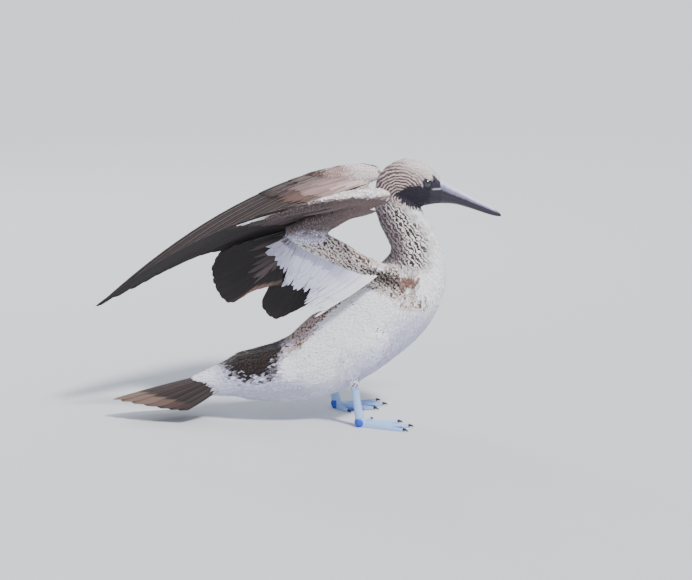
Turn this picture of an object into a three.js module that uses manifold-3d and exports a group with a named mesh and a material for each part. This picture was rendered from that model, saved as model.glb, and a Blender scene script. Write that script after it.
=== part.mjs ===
// A blue-footed booby at life size, standing with both wings raised and stretched over its back.
// Millimetres, +X towards the bill, +Y to the bird's left, +Z up, standing on Z = 0.
// The origin is on the ground under the middle of the bird.

import * as THREE from 'three';
import { mergeVertices } from 'three/addons/utils/BufferGeometryUtils.js';
import Module from 'manifold-3d';

const wasm = await Module();
wasm.setup();

// Driving dimensions
const GAP = 0.35;
const FEATHER_SHEET = 2.4;
const SHEET_TAPER = 0.45;
const OVAL_FULLNESS = 0.94;
const BODY_SIDES = 16;
const BODY_STEPS = 23;
const HEAD_STEPS = 9;
const ARM_SIDES = 8;
const ARM_STEPS = 7;
const BILL_SIDES = 10;
const BILL_STEPS = 7;
const EYE_RADIUS = 7.6;
const EYE_CENTRE = [178.5, 13.7, 336.5];
const LOWER_BILL_SHARE = 0.92;
const LOWER_BILL_AHEAD = 0.4;
const PRIMARY_COUNT = 10;
const SECONDARY_COUNT = 11;
const HUMERAL_COUNT = 5;
const AXILLAR_COUNT = 5;
const TAIL_FEATHERS_PER_SIDE = 6;
const LEFT_LEG_STEP_BACK = 30;
const LEFT_ELBOW_DROP = 28;
const HALF_STANCE = 50;
const TOE_HEIGHT = 9;
const TOE_TIP_LOSS = 0.43;
const CLAW_LENGTH = 8;
const CLAW_RADIUS = 2.3;
const CLAW_HEIGHT = 3.2;
const KNUCKLE_RADIUS = 8.5;
const KNUCKLE_SINK = 2;
const WEB_LOW = 0.8;
const WEB_THICK = 2;
const WEB_EDGE_INSET = 3;
const WEB_HOLLOW = 0.16;

// Wing joints on one side, with Y as the distance from the midline. The left wing is held a
// little lower: a fourth number is the share of LEFT_ELBOW_DROP that a point comes down there.
const SHOULDER = [134, 27, 202, 0.35];
const ELBOW = [-20, 80, 276, 1];
const HAND_END = [2, 127, 321, 0.14];
const WING_TIP = [-283, 15, 165, 0.24];

// Each station of the body: back x and z, belly x and z, half width
const BODY_STATIONS = [
  [-152, 60, -149, 38, 8],
  [-128, 72, -124, 32, 18],
  [-105, 82, -99, 34, 27],
  [-85, 95, -70, 28, 37],
  [-48, 104, -25, 24, 46],
  [-17, 115, 9, 26, 52],
  [9, 139, 54, 37, 57],
  [43, 169, 95, 58, 60],
  [75, 196, 135, 86, 61],
  [105, 215, 170, 116, 58],
  [124, 229, 193, 147, 52],
  [130, 241, 206.5, 183, 44],
  [126, 253, 207.5, 212, 37],
  [117, 270, 201, 246, 32],
  [109, 288, 189, 271, 29],
  [107, 305, 177, 291, 27],
  [114, 324, 168, 305, 24],
  [132, 338, 160, 322, 16],
];

// Each station of the head: crown x and z, throat x and z, half width
const HEAD_STATIONS = [
  [108, 330, 110, 317, 6],
  [110.5, 341, 116, 306, 15],
  [118, 353.5, 128, 301, 20],
  [133, 364.5, 144, 298, 22.5],
  [152, 370.2, 159, 298, 23],
  [172, 365.3, 176, 302.5, 20.5],
  [187.5, 354.5, 188.5, 305, 16.8],
  [197.5, 343.8, 200, 305.8, 14],
];

// Each station of the bill: ridge x and z, mouth line z, lower edge x and z, half width
const BILL_STATIONS = [
  [198, 342.2, 322, 200.5, 305.8, 13.4],
  [208, 336.4, 318.4, 210, 305.6, 11.8],
  [219, 330.2, 314.4, 220, 304.5, 10.2],
  [240, 318.2, 306.4, 240, 298.8, 7.6],
  [261, 305.8, 298.2, 261, 291.6, 5.4],
  [275, 297.4, 292.4, 275, 287.6, 3.6],
  [283.4, 289.8, 288.4, 283, 286.8, 1.3],
];

const COLOURS = {
  white: 0xe9e8ee,
  mottled: 0x9a8c82,
  head: 0xa99e90,
  dark: 0x231d1f,
  wing: 0x4a3d3a,
  covert: 0x8f7f79,
  bill: 0x8a86a0,
  billLow: 0x4b4560,
  eye: 0x14100e,
  foot: 0x5b8fd6,
  claw: 0x40485c,
};

function finish(colour, roughness) {
  return new THREE.MeshStandardMaterial({ color: colour, roughness, metalness: 0 });
}

// A point of one side: side is -1 for the bird's right and 1 for its left
function point(place, side = -1) {
  const drop = side > 0 ? LEFT_ELBOW_DROP * (place[3] ?? 0) : 0;
  return new THREE.Vector3(place[0], side * place[1], place[2] - drop);
}

function curveThrough(places, side) {
  const points = places.map((place) => point(place, side));
  return new THREE.CatmullRomCurve3(points, false, 'centripetal');
}

function signedVolume(positions, index) {
  const a = new THREE.Vector3();
  const b = new THREE.Vector3();
  const c = new THREE.Vector3();
  let volume = 0;
  for (let i = 0; i < index.length; i += 3) {
    a.fromArray(positions, index[i] * 3);
    b.fromArray(positions, index[i + 1] * 3);
    c.fromArray(positions, index[i + 2] * 3);
    volume += a.dot(b.cross(c)) / 6;
  }
  return volume;
}

// A closed surface of points and triangles, turned so that its faces point out
function closedGeometry(points, index) {
  const positions = points.flatMap((p) => [p.x, p.y, p.z]);
  const faces = [...index];
  if (signedVolume(positions, faces) < 0) {
    faces.reverse();
  }
  const geometry = new THREE.BufferGeometry();
  geometry.setAttribute('position', new THREE.Float32BufferAttribute(positions, 3));
  geometry.setIndex(faces);
  return geometry;
}

// A closed loft through rings of equally many points, with a point at the middle of each end
function loft(rings) {
  const sides = rings[0].length;
  const points = rings.flat();
  const faces = [];
  for (let r = 0; r + 1 < rings.length; r += 1) {
    for (let s = 0; s < sides; s += 1) {
      const next = (s + 1) % sides;
      const a = r * sides + s;
      const b = r * sides + next;
      faces.push(a, b, b + sides, a, b + sides, a + sides);
    }
  }
  for (const [ring, turn] of [[0, -1], [rings.length - 1, 1]]) {
    const middle = new THREE.Vector3();
    rings[ring].forEach((p) => middle.addScaledVector(p, 1 / sides));
    points.push(middle);
    for (let s = 0; s < sides; s += 1) {
      const a = ring * sides + s;
      const b = ring * sides + ((s + 1) % sides);
      faces.push(...(turn > 0 ? [a, b, points.length - 1] : [b, a, points.length - 1]));
    }
  }
  return closedGeometry(points, faces);
}

function solid(geometry) {
  const bare = geometry.clone();
  bare.deleteAttribute('normal');
  bare.deleteAttribute('uv');
  const merged = mergeVertices(bare, 1e-4);
  const mesh = new wasm.Mesh({
    numProp: 3,
    vertProperties: new Float32Array(merged.attributes.position.array),
    triVerts: new Uint32Array(merged.index.array),
  });
  return new wasm.Manifold(mesh);
}

function geometryOf(body) {
  const mesh = body.getMesh();
  const geometry = new THREE.BufferGeometry();
  geometry.setAttribute('position', new THREE.BufferAttribute(new Float32Array(mesh.vertProperties), 3));
  geometry.setIndex(new THREE.BufferAttribute(new Uint32Array(mesh.triVerts), 1));
  return geometry;
}

// The largest piece of a body, without the slivers that a cut leaves beside it
function mainPiece(body) {
  return body.decompose().reduce((a, b) => (a.volume() > b.volume() ? a : b));
}

function cutBy(body, cutters) {
  return mainPiece(cutters.reduce((rest, cutter) => rest.subtract(cutter), body));
}

// The part of a body on the side of a plane that its normal points to
function beyond(body, place, normal, gap = GAP) {
  const reach = 1200;
  const box = new THREE.BoxGeometry(reach, reach, reach);
  box.translate(0, 0, reach / 2 + gap / 2);
  const direction = new THREE.Vector3(...normal).normalize();
  box.applyQuaternion(new THREE.Quaternion().setFromUnitVectors(new THREE.Vector3(0, 0, 1), direction));
  box.translate(...place);
  return mainPiece(body.intersect(solid(box)));
}

// An oval ring: up and side are unit vectors, and power below 1 makes it fuller than an ellipse
function ovalRing(centre, up, side, high, low, wide, sides, power = OVAL_FULLNESS) {
  const ring = [];
  for (let s = 0; s < sides; s += 1) {
    const angle = (2 * Math.PI * s) / sides;
    const c = Math.cos(angle);
    const n = Math.sin(angle);
    const rise = Math.sign(c) * Math.abs(c) ** power * (c > 0 ? high : low);
    const spread = Math.sign(n) * Math.abs(n) ** power * wide;
    ring.push(centre.clone().addScaledVector(up, rise).addScaledVector(side, spread));
  }
  return ring;
}

// A body along the midline from stations of upper point, lower point and half width
function midlineLoft(stations, steps, sides, grow = 0) {
  const upper = curveThrough(stations.map((s) => [s[0], 0, s[1]]));
  const lower = curveThrough(stations.map((s) => [s[2], 0, s[3]]));
  const width = curveThrough(stations.map((s, i) => [s[4], 0, i]));
  const across = new THREE.Vector3(0, 1, 0);
  const rings = [];
  for (let i = 0; i <= steps; i += 1) {
    const top = upper.getPoint(i / steps);
    const foot = lower.getPoint(i / steps);
    const up = top.clone().sub(foot);
    const half = up.length() / 2 + grow;
    const centre = top.clone().add(foot).multiplyScalar(0.5);
    up.normalize();
    rings.push(ovalRing(centre, up, across, half, half, width.getPoint(i / steps).x + grow, sides));
  }
  return loft(rings);
}

// A limb along its axis. Each station: place, reach ahead, reach behind, half thickness, and the
// direction of ahead, which is squared to the axis.
function limbLoft(stations, side, steps, sides, grow = 0) {
  const axis = curveThrough(stations.map((s) => s.place), side);
  const sizes = curveThrough(stations.map((s) => [s.size[0], s.size[1], s.size[2]]), 1);
  const aheads = curveThrough(stations.map((s) => s.ahead), side);
  const rings = [];
  for (let i = 0; i <= steps; i += 1) {
    const t = i / steps;
    const centre = axis.getPoint(t);
    const along = axis.getTangent(t);
    const ahead = aheads.getPoint(t);
    ahead.addScaledVector(along, -ahead.dot(along)).normalize();
    const flat = new THREE.Vector3().crossVectors(along, ahead).normalize();
    const size = sizes.getPoint(t);
    rings.push(ovalRing(centre, ahead, flat, size.x + grow, size.y + grow, size.z + grow, sides));
  }
  const first = axis.getTangent(0).multiplyScalar(-grow);
  const last = axis.getTangent(1).multiplyScalar(grow);
  rings[0].forEach((p) => p.add(first));
  rings[steps].forEach((p) => p.add(last));
  return loft(rings);
}

// A fan of flat feathers as one thin sheet. Its columns are the edges and the shafts in turn, and
// each tip stands out past the notches beside it.
function featherSheet(fan, side, grow = 0) {
  const roots = curveThrough(fan.roots, side);
  const tips = curveThrough(fan.tips, side);
  const columns = 2 * fan.count + 1;
  const grid = [];
  for (let c = 0; c < columns; c += 1) {
    const t = c / (columns - 1);
    const root = roots.getPoint(t);
    const tip = tips.getPoint(t);
    const along = tip.clone().sub(root);
    const inset = c % 2 === 0 ? fan.notch : 0;
    const reach = 1 - inset / along.length();
    const lift = point(fan.bulgeFirst, side).lerp(point(fan.bulgeLast, side), t);
    const control = root.clone().lerp(tip, 0.5).add(lift);
    const shaft = new THREE.QuadraticBezierCurve3(root, control, tip);
    const column = [];
    for (let r = 0; r <= fan.rows; r += 1) {
      column.push(shaft.getPoint((reach * r) / fan.rows));
    }
    grid.push(column);
  }
  return solid(thickSheet(grid, fan.thickness / 2 + grow, grow));
}

// A grid of points thickened to both sides, thinner towards the last row
function thickSheet(grid, half, grow) {
  const columns = grid.length;
  const rows = grid[0].length;
  const points = [];
  for (const face of [1, -1]) {
    for (let c = 0; c < columns; c += 1) {
      for (let r = 0; r < rows; r += 1) {
        const across = grid[Math.min(c + 1, columns - 1)][r].clone().sub(grid[Math.max(c - 1, 0)][r]);
        const along = grid[c][Math.min(r + 1, rows - 1)].clone().sub(grid[c][Math.max(r - 1, 0)]);
        const normal = new THREE.Vector3().crossVectors(across, along).normalize();
        const thin = 1 - SHEET_TAPER * (r / (rows - 1)) ** 2;
        const p = grid[c][r].clone().addScaledVector(normal, face * half * thin);
        if (grow > 0 && r === rows - 1) {
          p.addScaledVector(along.normalize(), grow);
        }
        if (grow > 0 && (c === 0 || c === columns - 1)) {
          p.addScaledVector(across.normalize(), c === 0 ? -grow : grow);
        }
        points.push(p);
      }
    }
  }
  const faces = [];
  const back = columns * rows;
  const at = (c, r) => c * rows + r;
  for (let c = 0; c + 1 < columns; c += 1) {
    for (let r = 0; r + 1 < rows; r += 1) {
      const [p, q, s, t] = [at(c, r), at(c + 1, r), at(c + 1, r + 1), at(c, r + 1)];
      faces.push(p, q, s, p, s, t);
      faces.push(back + s, back + q, back + p, back + t, back + s, back + p);
    }
  }
  const rim = [];
  for (let c = 0; c < columns - 1; c += 1) {
    rim.push(at(c, 0));
  }
  for (let r = 0; r < rows - 1; r += 1) {
    rim.push(at(columns - 1, r));
  }
  for (let c = columns - 1; c > 0; c -= 1) {
    rim.push(at(c, rows - 1));
  }
  for (let r = rows - 1; r > 0; r -= 1) {
    rim.push(at(0, r));
  }
  rim.forEach((p, i) => {
    const q = rim[(i + 1) % rim.length];
    faces.push(q, p, back + p, q, back + p, back + q);
  });
  return closedGeometry(points, faces);
}

// Wings
const UPPER_ARM = [
  { place: SHOULDER, size: [15, 13, 7], ahead: [0.3, 0.1, 1] },
  { place: [117, 38, 210, 0.5], size: [20, 19, 12], ahead: [0.25, 0.15, 1] },
  { place: [90, 50, 224, 0.8], size: [19, 21, 13], ahead: [0.2, 0.35, 1] },
  { place: [48, 64, 245, 1.05], size: [29, 20, 11], ahead: [0.1, 0.5, 0.9] },
  { place: [12, 75, 262, 1.05], size: [35, 17, 10], ahead: [0, 0.6, 0.8] },
  { place: ELBOW, size: [14, 13, 8], ahead: [0, 0.6, 0.8] },
];
const FOREARM = [
  { place: [-14, 84, 280, 0.95], size: [12, 12, 7], ahead: [0, 0.6, 0.8] },
  { place: [28, 100, 300, 0.65], size: [17, 30, 8], ahead: [0, 0.7, 0.7] },
  { place: [70, 113, 316, 0.4], size: [16, 11, 9], ahead: [0, 0.7, 0.7] },
  { place: [104, 120, 331, 0.75], size: [9, 6, 9], ahead: [0.2, 0.7, 0.7] },
];
const HAND = [
  { place: [123, 126, 336, 0.3], size: [3, 5, 4], ahead: [0.9, 0.3, 0.5] },
  { place: [117, 127, 337, 0.3], size: [12, 14, 9], ahead: [0.6, 0.5, 0.7] },
  { place: [98, 128, 338, 0.3], size: [15, 17, 10], ahead: [0.2, 0.6, 0.8] },
  { place: [56, 130, 335, 0.24], size: [13, 15, 8], ahead: [0, 0.7, 0.7] },
  { place: HAND_END, size: [9, 10, 5], ahead: [0, 0.7, 0.7] },
  { place: [-46, 114, 304, 0.14], size: [3, 6, 2.5], ahead: [0, 0.7, 0.7] },
];
const PRIMARIES = {
  count: PRIMARY_COUNT,
  roots: [[98, 112, 314], [60, 121, 322], [4, 131, 326, 0.14]],
  tips: [
    [-92, 44, 251, 0.32], [-134, 32, 241, 0.28], [-186, 20, 216, 0.26], [-228, 14, 193, 0.25], WING_TIP,
  ],
  bulgeFirst: [0, 4, 8],
  bulgeLast: [2, -6, 45],
  notch: 4,
  rows: 4,
  thickness: FEATHER_SHEET,
};
const SECONDARIES = {
  count: SECONDARY_COUNT,
  roots: [[-12, 78, 270, 0.9], [30, 92, 288, 0.6], [70, 104, 304, 0.3], [96, 112, 312, 0.1]],
  tips: [
    [-22, 52, 203, 0.8], [-62, 49, 194, 0.75], [-96, 44, 176, 0.65], [-116, 41, 202, 0.6],
    [-118, 44, 230, 0.5], [-96, 54, 254, 0.45], [-52, 74, 272, 0.45],
  ],
  bulgeFirst: [-4, 0, 4],
  bulgeLast: [0, -4, 6],
  notch: 5,
  rows: 3,
  thickness: FEATHER_SHEET,
};
const HUMERALS = {
  count: HUMERAL_COUNT,
  roots: [[62, 54, 232, 0.5], [28, 63, 250, 0.7], [-6, 72, 264, 0.9]],
  tips: [
    [26, 46, 181, 0.6], [-4, 43, 164, 0.6], [-33, 39, 152, 0.6], [-51, 39, 172, 0.65], [-42, 44, 196, 0.8],
  ],
  bulgeFirst: [-4, -4, -4],
  bulgeLast: [-6, -6, 0],
  notch: 4,
  rows: 3,
  thickness: FEATHER_SHEET,
};
const AXILLARS = {
  count: AXILLAR_COUNT,
  roots: [[98, 58, 208, 0.2], [52, 68, 234, 0.5], [4, 82, 262, 0.8], [-16, 88, 276, 1]],
  tips: [
    [24, 58, 158, 0.3], [-2, 61, 170, 0.45], [12, 65, 192, 0.6], [-14, 66, 202, 0.8], [-24, 70, 226, 0.9],
    [-50, 76, 258, 1],
  ],
  bulgeFirst: [0, 6, 0],
  bulgeLast: [-2, 4, 0],
  notch: 5,
  rows: 3,
  thickness: FEATHER_SHEET,
};

// Tail: the shorter outer feathers lie lower, like the two slopes of a roof
const TAIL_FAN = {
  count: TAIL_FEATHERS_PER_SIDE,
  roots: [[-112, 1.4, 68], [-112, 12, 62], [-108, 20, 48]],
  tips: [[-262, 1.4, 29], [-228, 18, 26.5], [-186, 31, 22], [-156, 37, 20.5]],
  bulgeFirst: [0, 0, 3],
  bulgeLast: [0, 2, -2],
  notch: 4,
  rows: 3,
  thickness: 3,
};

const group = new THREE.Group();

function add(name, body, colour, roughness = 0.8) {
  const geometry = geometryOf(body);
  const mesh = new THREE.Mesh(geometry, finish(colour, roughness));
  mesh.name = name;
  group.add(mesh);
}

// Trunk, neck, head and tail root are modelled whole and parted
const bodyLoft = (grow) => solid(midlineLoft(BODY_STATIONS, BODY_STEPS, BODY_SIDES, grow));
const headLoft = (grow) => solid(midlineLoft(HEAD_STATIONS, HEAD_STEPS, BODY_SIDES, grow));
const whole = bodyLoft(0).add(headLoft(0));
const wholeGrown = bodyLoft(GAP).add(headLoft(GAP));
const TAIL_PARTING = { place: [-92, 0, 62], normal: [-1, 0, 0.28] };
const NECK_PARTING = { place: [166, 0, 206], normal: [0.576, 0, 0.817] };
const HEAD_PARTING = { place: [140, 0, 304], normal: [0.12, 0, 1] };

function eyeBall(side, grow) {
  const ball = new THREE.SphereGeometry(EYE_RADIUS + grow, 10, 8);
  ball.translate(EYE_CENTRE[0], side * EYE_CENTRE[1], EYE_CENTRE[2]);
  return solid(ball);
}

const reversed = (normal) => normal.map((n) => -n);

function addBody() {
  const front = beyond(whole, TAIL_PARTING.place, reversed(TAIL_PARTING.normal));
  const trunk = beyond(front, NECK_PARTING.place, reversed(NECK_PARTING.normal));
  const upper = beyond(front, NECK_PARTING.place, NECK_PARTING.normal);
  const neck = beyond(upper, HEAD_PARTING.place, reversed(HEAD_PARTING.normal));
  const head = beyond(upper, HEAD_PARTING.place, HEAD_PARTING.normal);
  const tailRoot = beyond(whole, TAIL_PARTING.place, TAIL_PARTING.normal);
  add('trunk', trunk, COLOURS.white);
  add('neck', neck, COLOURS.mottled);
  add('head', cutBy(head, [eyeBall(-1, GAP), eyeBall(1, GAP)]), COLOURS.head);
  add('tail', tailRoot, COLOURS.white);
}

function addBill() {
  const upperStations = BILL_STATIONS.map(([x, top, mouth, , , wide]) => [x, top, x, mouth + GAP / 2, wide]);
  const lowerStations = BILL_STATIONS.map(([x, , mouth, lowX, low, wide]) => [
    x + LOWER_BILL_AHEAD, mouth - GAP / 2, lowX, low, wide * LOWER_BILL_SHARE,
  ]);
  const upper = solid(midlineLoft(upperStations, BILL_STEPS, BILL_SIDES));
  const lower = solid(midlineLoft(lowerStations, BILL_STEPS, BILL_SIDES));
  const upperGrown = solid(midlineLoft(upperStations, BILL_STEPS, BILL_SIDES, GAP));
  add('bill_upper', cutBy(upper, [wholeGrown]), COLOURS.bill, 0.4);
  add('bill_lower', cutBy(lower, [wholeGrown, upperGrown]), COLOURS.billLow, 0.4);
}

function addWing(side, word) {
  const arm = (stations, grow) => solid(limbLoft(stations, side, ARM_STEPS, ARM_SIDES, grow));
  const upperArm = arm(UPPER_ARM, GAP);
  const forearm = arm(FOREARM, GAP);
  const hand = arm(HAND, GAP);
  const arms = [wholeGrown, upperArm, forearm, hand];
  add(`upper_arm_${word}`, cutBy(arm(UPPER_ARM, 0), [wholeGrown]), COLOURS.mottled);
  add(`forearm_${word}`, cutBy(arm(FOREARM, 0), [upperArm]), COLOURS.covert);
  add(`hand_${word}`, cutBy(arm(HAND, 0), [upperArm, forearm]), COLOURS.covert);
  const primaries = featherSheet(PRIMARIES, side, GAP);
  const secondaries = featherSheet(SECONDARIES, side, GAP);
  const humerals = featherSheet(HUMERALS, side, GAP);
  const before = [...arms, primaries, secondaries];
  add(`primaries_${word}`, cutBy(featherSheet(PRIMARIES, side), arms), COLOURS.wing);
  add(`secondaries_${word}`, cutBy(featherSheet(SECONDARIES, side), [...arms, primaries]), COLOURS.wing);
  add(`humerals_${word}`, cutBy(featherSheet(HUMERALS, side), before), COLOURS.dark);
  add(`axillars_${word}`, cutBy(featherSheet(AXILLARS, side), [...before, humerals]), COLOURS.white);
}

function addTailFeathers(side, word) {
  const root = beyond(wholeGrown, TAIL_PARTING.place, TAIL_PARTING.normal, 0);
  add(`tail_feathers_${word}`, cutBy(featherSheet(TAIL_FAN, side), [root]), COLOURS.dark);
}

// Legs
const HEEL = [77, HALF_STANCE, 66];
const TOE_BASE = [86, HALF_STANCE + 2, 11];
const SHANK = [
  { place: [98, HALF_STANCE - 12, 134], size: [38, 46, 24], ahead: [1, 0, 0.5] },
  { place: [86, HALF_STANCE - 3, 108], size: [34, 42, 20], ahead: [1, 0, 0.3] },
  { place: [75, HALF_STANCE - 1, 86], size: [24, 30, 15], ahead: [1, 0, 0.2] },
  { place: [75, HALF_STANCE, 73], size: [12, 15, 9.5], ahead: [1, 0, 0.1] },
  { place: [76, HALF_STANCE, 66], size: [7, 8, 6.5], ahead: [1, 0, 0] },
];
const TARSUS = [
  { place: [77, HALF_STANCE, 68], size: [6, 6.5, 5.5], ahead: [1, 0, 0.2] },
  { place: HEEL, size: [6.5, 7.5, 6], ahead: [1, 0, 0.2] },
  { place: [79, HALF_STANCE, 50], size: [5.2, 5.8, 4.4], ahead: [1, 0, 0.2] },
  { place: [81.5, HALF_STANCE + 1, 31], size: [5.4, 5.8, 4.6], ahead: [1, 0, 0.2] },
  { place: [84.5, HALF_STANCE + 2, 13], size: [7, 7, 7], ahead: [1, 0, 0.2] },
];
// Each toe: name, angle outwards from straight ahead in degrees, length, half width at its root
const TOES = [
  ['hallux', -62, 32, 4],
  ['inner', -16, 54, 4.6],
  ['middle', 7, 66, 5],
  ['outer', 27, 64, 4.4],
];

function toeDirection(angle, side) {
  const turn = (angle * Math.PI) / 180;
  return new THREE.Vector3(Math.cos(turn), side * Math.sin(turn), 0);
}

// A toe with a flat sole: half ovals that fall and narrow towards the tip
function toeSolid(base, angle, length, wide, side) {
  const along = toeDirection(angle, side);
  const across = new THREE.Vector3(-along.y, along.x, 0);
  const rings = [];
  const steps = 3;
  const sides = 5;
  const archPower = 0.8;
  for (let i = 0; i <= steps; i += 1) {
    const t = i / steps;
    const centre = new THREE.Vector3(base.x, base.y, 0).addScaledVector(along, length * t);
    const half = wide * (1 - TOE_TIP_LOSS * t);
    const high = TOE_HEIGHT * (1 - TOE_TIP_LOSS * t);
    const ring = [];
    for (let s = 0; s <= sides; s += 1) {
      const turn = (Math.PI * s) / sides;
      const p = centre.clone().addScaledVector(across, half * Math.cos(turn));
      p.z = high * Math.sin(turn) ** archPower;
      ring.push(p);
    }
    rings.push(ring);
  }
  return solid(loft(rings));
}

// The web from toe to toe, its free edge curving in a little
function webSolid(base, side) {
  const shape = new THREE.Shape();
  const tips = TOES.map(([, angle, length]) => {
    const tip = toeDirection(angle, side).multiplyScalar(length - WEB_EDGE_INSET);
    return new THREE.Vector2(base.x + tip.x, base.y + tip.y);
  });
  shape.moveTo(base.x - WEB_EDGE_INSET, base.y);
  shape.lineTo(tips[0].x, tips[0].y);
  for (let i = 1; i < tips.length; i += 1) {
    const middle = tips[i - 1].clone().lerp(tips[i], 0.5);
    const inwards = new THREE.Vector2(base.x, base.y).sub(middle).multiplyScalar(WEB_HOLLOW);
    shape.quadraticCurveTo(middle.x + inwards.x, middle.y + inwards.y, tips[i].x, tips[i].y);
  }
  const web = new THREE.ExtrudeGeometry(shape, { depth: WEB_THICK, bevelEnabled: false, curveSegments: 2 });
  web.translate(0, 0, WEB_LOW);
  return solid(web);
}

// A claw that bends down towards its point
function clawSolid(base, angle, length, side) {
  const along = toeDirection(angle, side);
  const across = new THREE.Vector3(-along.y, along.x, 0);
  const upwards = new THREE.Vector3(0, 0, 1);
  const rings = [];
  const steps = 2;
  const drop = 2;
  const pointLoss = 0.78;
  const widthShare = 0.75;
  for (let i = 0; i <= steps; i += 1) {
    const t = i / steps;
    const centre = new THREE.Vector3(base.x, base.y, 0);
    centre.addScaledVector(along, length + GAP + CLAW_LENGTH * t);
    centre.z = CLAW_HEIGHT - drop * t * t;
    const size = CLAW_RADIUS * (1 - pointLoss * t);
    rings.push(ovalRing(centre, upwards, across, size, size, size * widthShare, 6, 1));
  }
  return solid(loft(rings));
}

// The joint over the toes, a ball cut flat at the ground
function knuckleSolid(base, grow) {
  const ball = new THREE.SphereGeometry(KNUCKLE_RADIUS + grow, 8, 6);
  ball.translate(base.x - 1, base.y, KNUCKLE_RADIUS - KNUCKLE_SINK);
  return beyond(solid(ball), [0, 0, 0], [0, 0, 1], 0);
}

function addLeg(side, word, stepBack) {
  const moved = (stations) => stations.map(({ place: [x, y, z], ...sizes }) => {
    return { place: [x - stepBack, y, z], ...sizes };
  });
  const base = point(TOE_BASE, side);
  base.x -= stepBack;
  let foot = webSolid(base, side).add(knuckleSolid(base, 0));
  for (const [, angle, length, wide] of TOES) {
    foot = foot.add(toeSolid(base, angle, length, wide, side));
  }
  const shank = (grow) => solid(limbLoft(moved(SHANK), side, 7, 12, grow));
  const tarsus = solid(limbLoft(moved(TARSUS), side, 6, 8));
  const clear = [wholeGrown, shank(GAP), knuckleSolid(base, GAP), foot];
  add(`shank_${word}`, cutBy(shank(0), [wholeGrown]), COLOURS.white);
  add(`tarsus_${word}`, cutBy(tarsus, clear), COLOURS.foot, 0.55);
  add(`foot_${word}`, foot, COLOURS.foot, 0.55);
  for (const [toe, angle, length] of TOES) {
    add(`claw_${toe}_${word}`, clawSolid(base, angle, length, side), COLOURS.claw, 0.4);
  }
}

addBody();
addBill();
for (const [side, word] of [[-1, 'right'], [1, 'left']]) {
  add(`eye_${word}`, eyeBall(side, 0), COLOURS.eye, 0.1);
  addWing(side, word);
  addTailFeathers(side, word);
  addLeg(side, word, side > 0 ? LEFT_LEG_STEP_BACK : 0);
}

export default group;
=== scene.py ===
# A blue-footed booby at life size, standing with both wings raised and stretched over its back.
# Places are written in millimetres and turned to metres by MM. +X is towards the bill, +Y is the
# bird's left, and the bird stands on Z = 0.

import math

import bmesh
import bpy
import numpy as np
from mathutils import Matrix, Vector
from mathutils.bvhtree import BVHTree


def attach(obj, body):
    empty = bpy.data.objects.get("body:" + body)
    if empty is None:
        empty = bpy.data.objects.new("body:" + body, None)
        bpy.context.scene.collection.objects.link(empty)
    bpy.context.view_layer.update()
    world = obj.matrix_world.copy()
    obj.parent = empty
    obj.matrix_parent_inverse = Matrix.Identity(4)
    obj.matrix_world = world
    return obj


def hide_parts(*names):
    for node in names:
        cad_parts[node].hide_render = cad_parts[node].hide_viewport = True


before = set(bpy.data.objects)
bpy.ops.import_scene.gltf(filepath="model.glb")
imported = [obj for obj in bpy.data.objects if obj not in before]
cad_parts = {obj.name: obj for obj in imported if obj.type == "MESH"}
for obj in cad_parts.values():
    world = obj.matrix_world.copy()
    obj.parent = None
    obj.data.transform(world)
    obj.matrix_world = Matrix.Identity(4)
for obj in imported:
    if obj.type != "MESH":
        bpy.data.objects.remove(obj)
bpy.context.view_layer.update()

MM = 0.001
RIGHT, LEFT = -1, 1
WORDS = {RIGHT: "right", LEFT: "left"}
draw = np.random.default_rng(11)

# Sizes that the solids have too
LEFT_ELBOW_DROP = 28
LEFT_LEG_STEP_BACK = 30
HALF_STANCE = 50
EYE_RADIUS = 7.6
EYE_CENTRE = (178.5, 13.7, 336.5)

# Stations of the head: crown x and z, underside x and z, half width
HEAD_STATIONS = [
    (108, 330, 110, 317, 6), (110.5, 341, 116, 306, 15), (118, 353.5, 128, 301, 20),
    (133, 364.5, 144, 298, 22.5), (152, 370.2, 159, 298, 23), (172, 365.3, 176, 302.5, 20.5),
    (187.5, 354.5, 188.5, 305, 16.8), (197.5, 343.8, 200, 305.8, 14),
]
# Stations of the bill: ridge x and z, mouth line z, lower edge x and z, half width
BILL_STATIONS = [
    (192, 344, 324, 193, 306.5, 14.6), (198, 342.2, 322, 200.5, 305.8, 13.4),
    (208, 336.4, 318.4, 210, 305.6, 11.8), (219, 330.2, 314.4, 220, 304.5, 10.2),
    (240, 318.2, 306.4, 240, 298.8, 7.6), (261, 305.8, 298.2, 261, 291.6, 5.4),
    (275, 297.4, 292.4, 275, 287.6, 3.6), (283.4, 289.8, 288.4, 283, 286.8, 1.3),
]

# Arm places: x, distance from the midline, z, and the share of the left wing's drop
UPPER_ARM = [
    (134, 27, 202, 0.35), (117, 38, 210, 0.5), (90, 50, 224, 0.8), (48, 64, 245, 1.05), (12, 75, 262, 1.05),
    (-20, 80, 276, 1),
]
FOREARM = [(-14, 84, 280, 0.95), (28, 96, 296, 0.65), (70, 112, 315, 0.4), (104, 120, 331, 0.75)]
HAND = [
    (117, 127, 337, 0.3), (98, 128, 338, 0.3), (56, 130, 335, 0.24), (2, 127, 321, 0.14),
    (-46, 114, 304, 0.14),
]
SHANK = [(98, 38, 134), (86, 47, 108), (75, 49, 86), (75, 50, 73), (76, 50, 66)]

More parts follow.
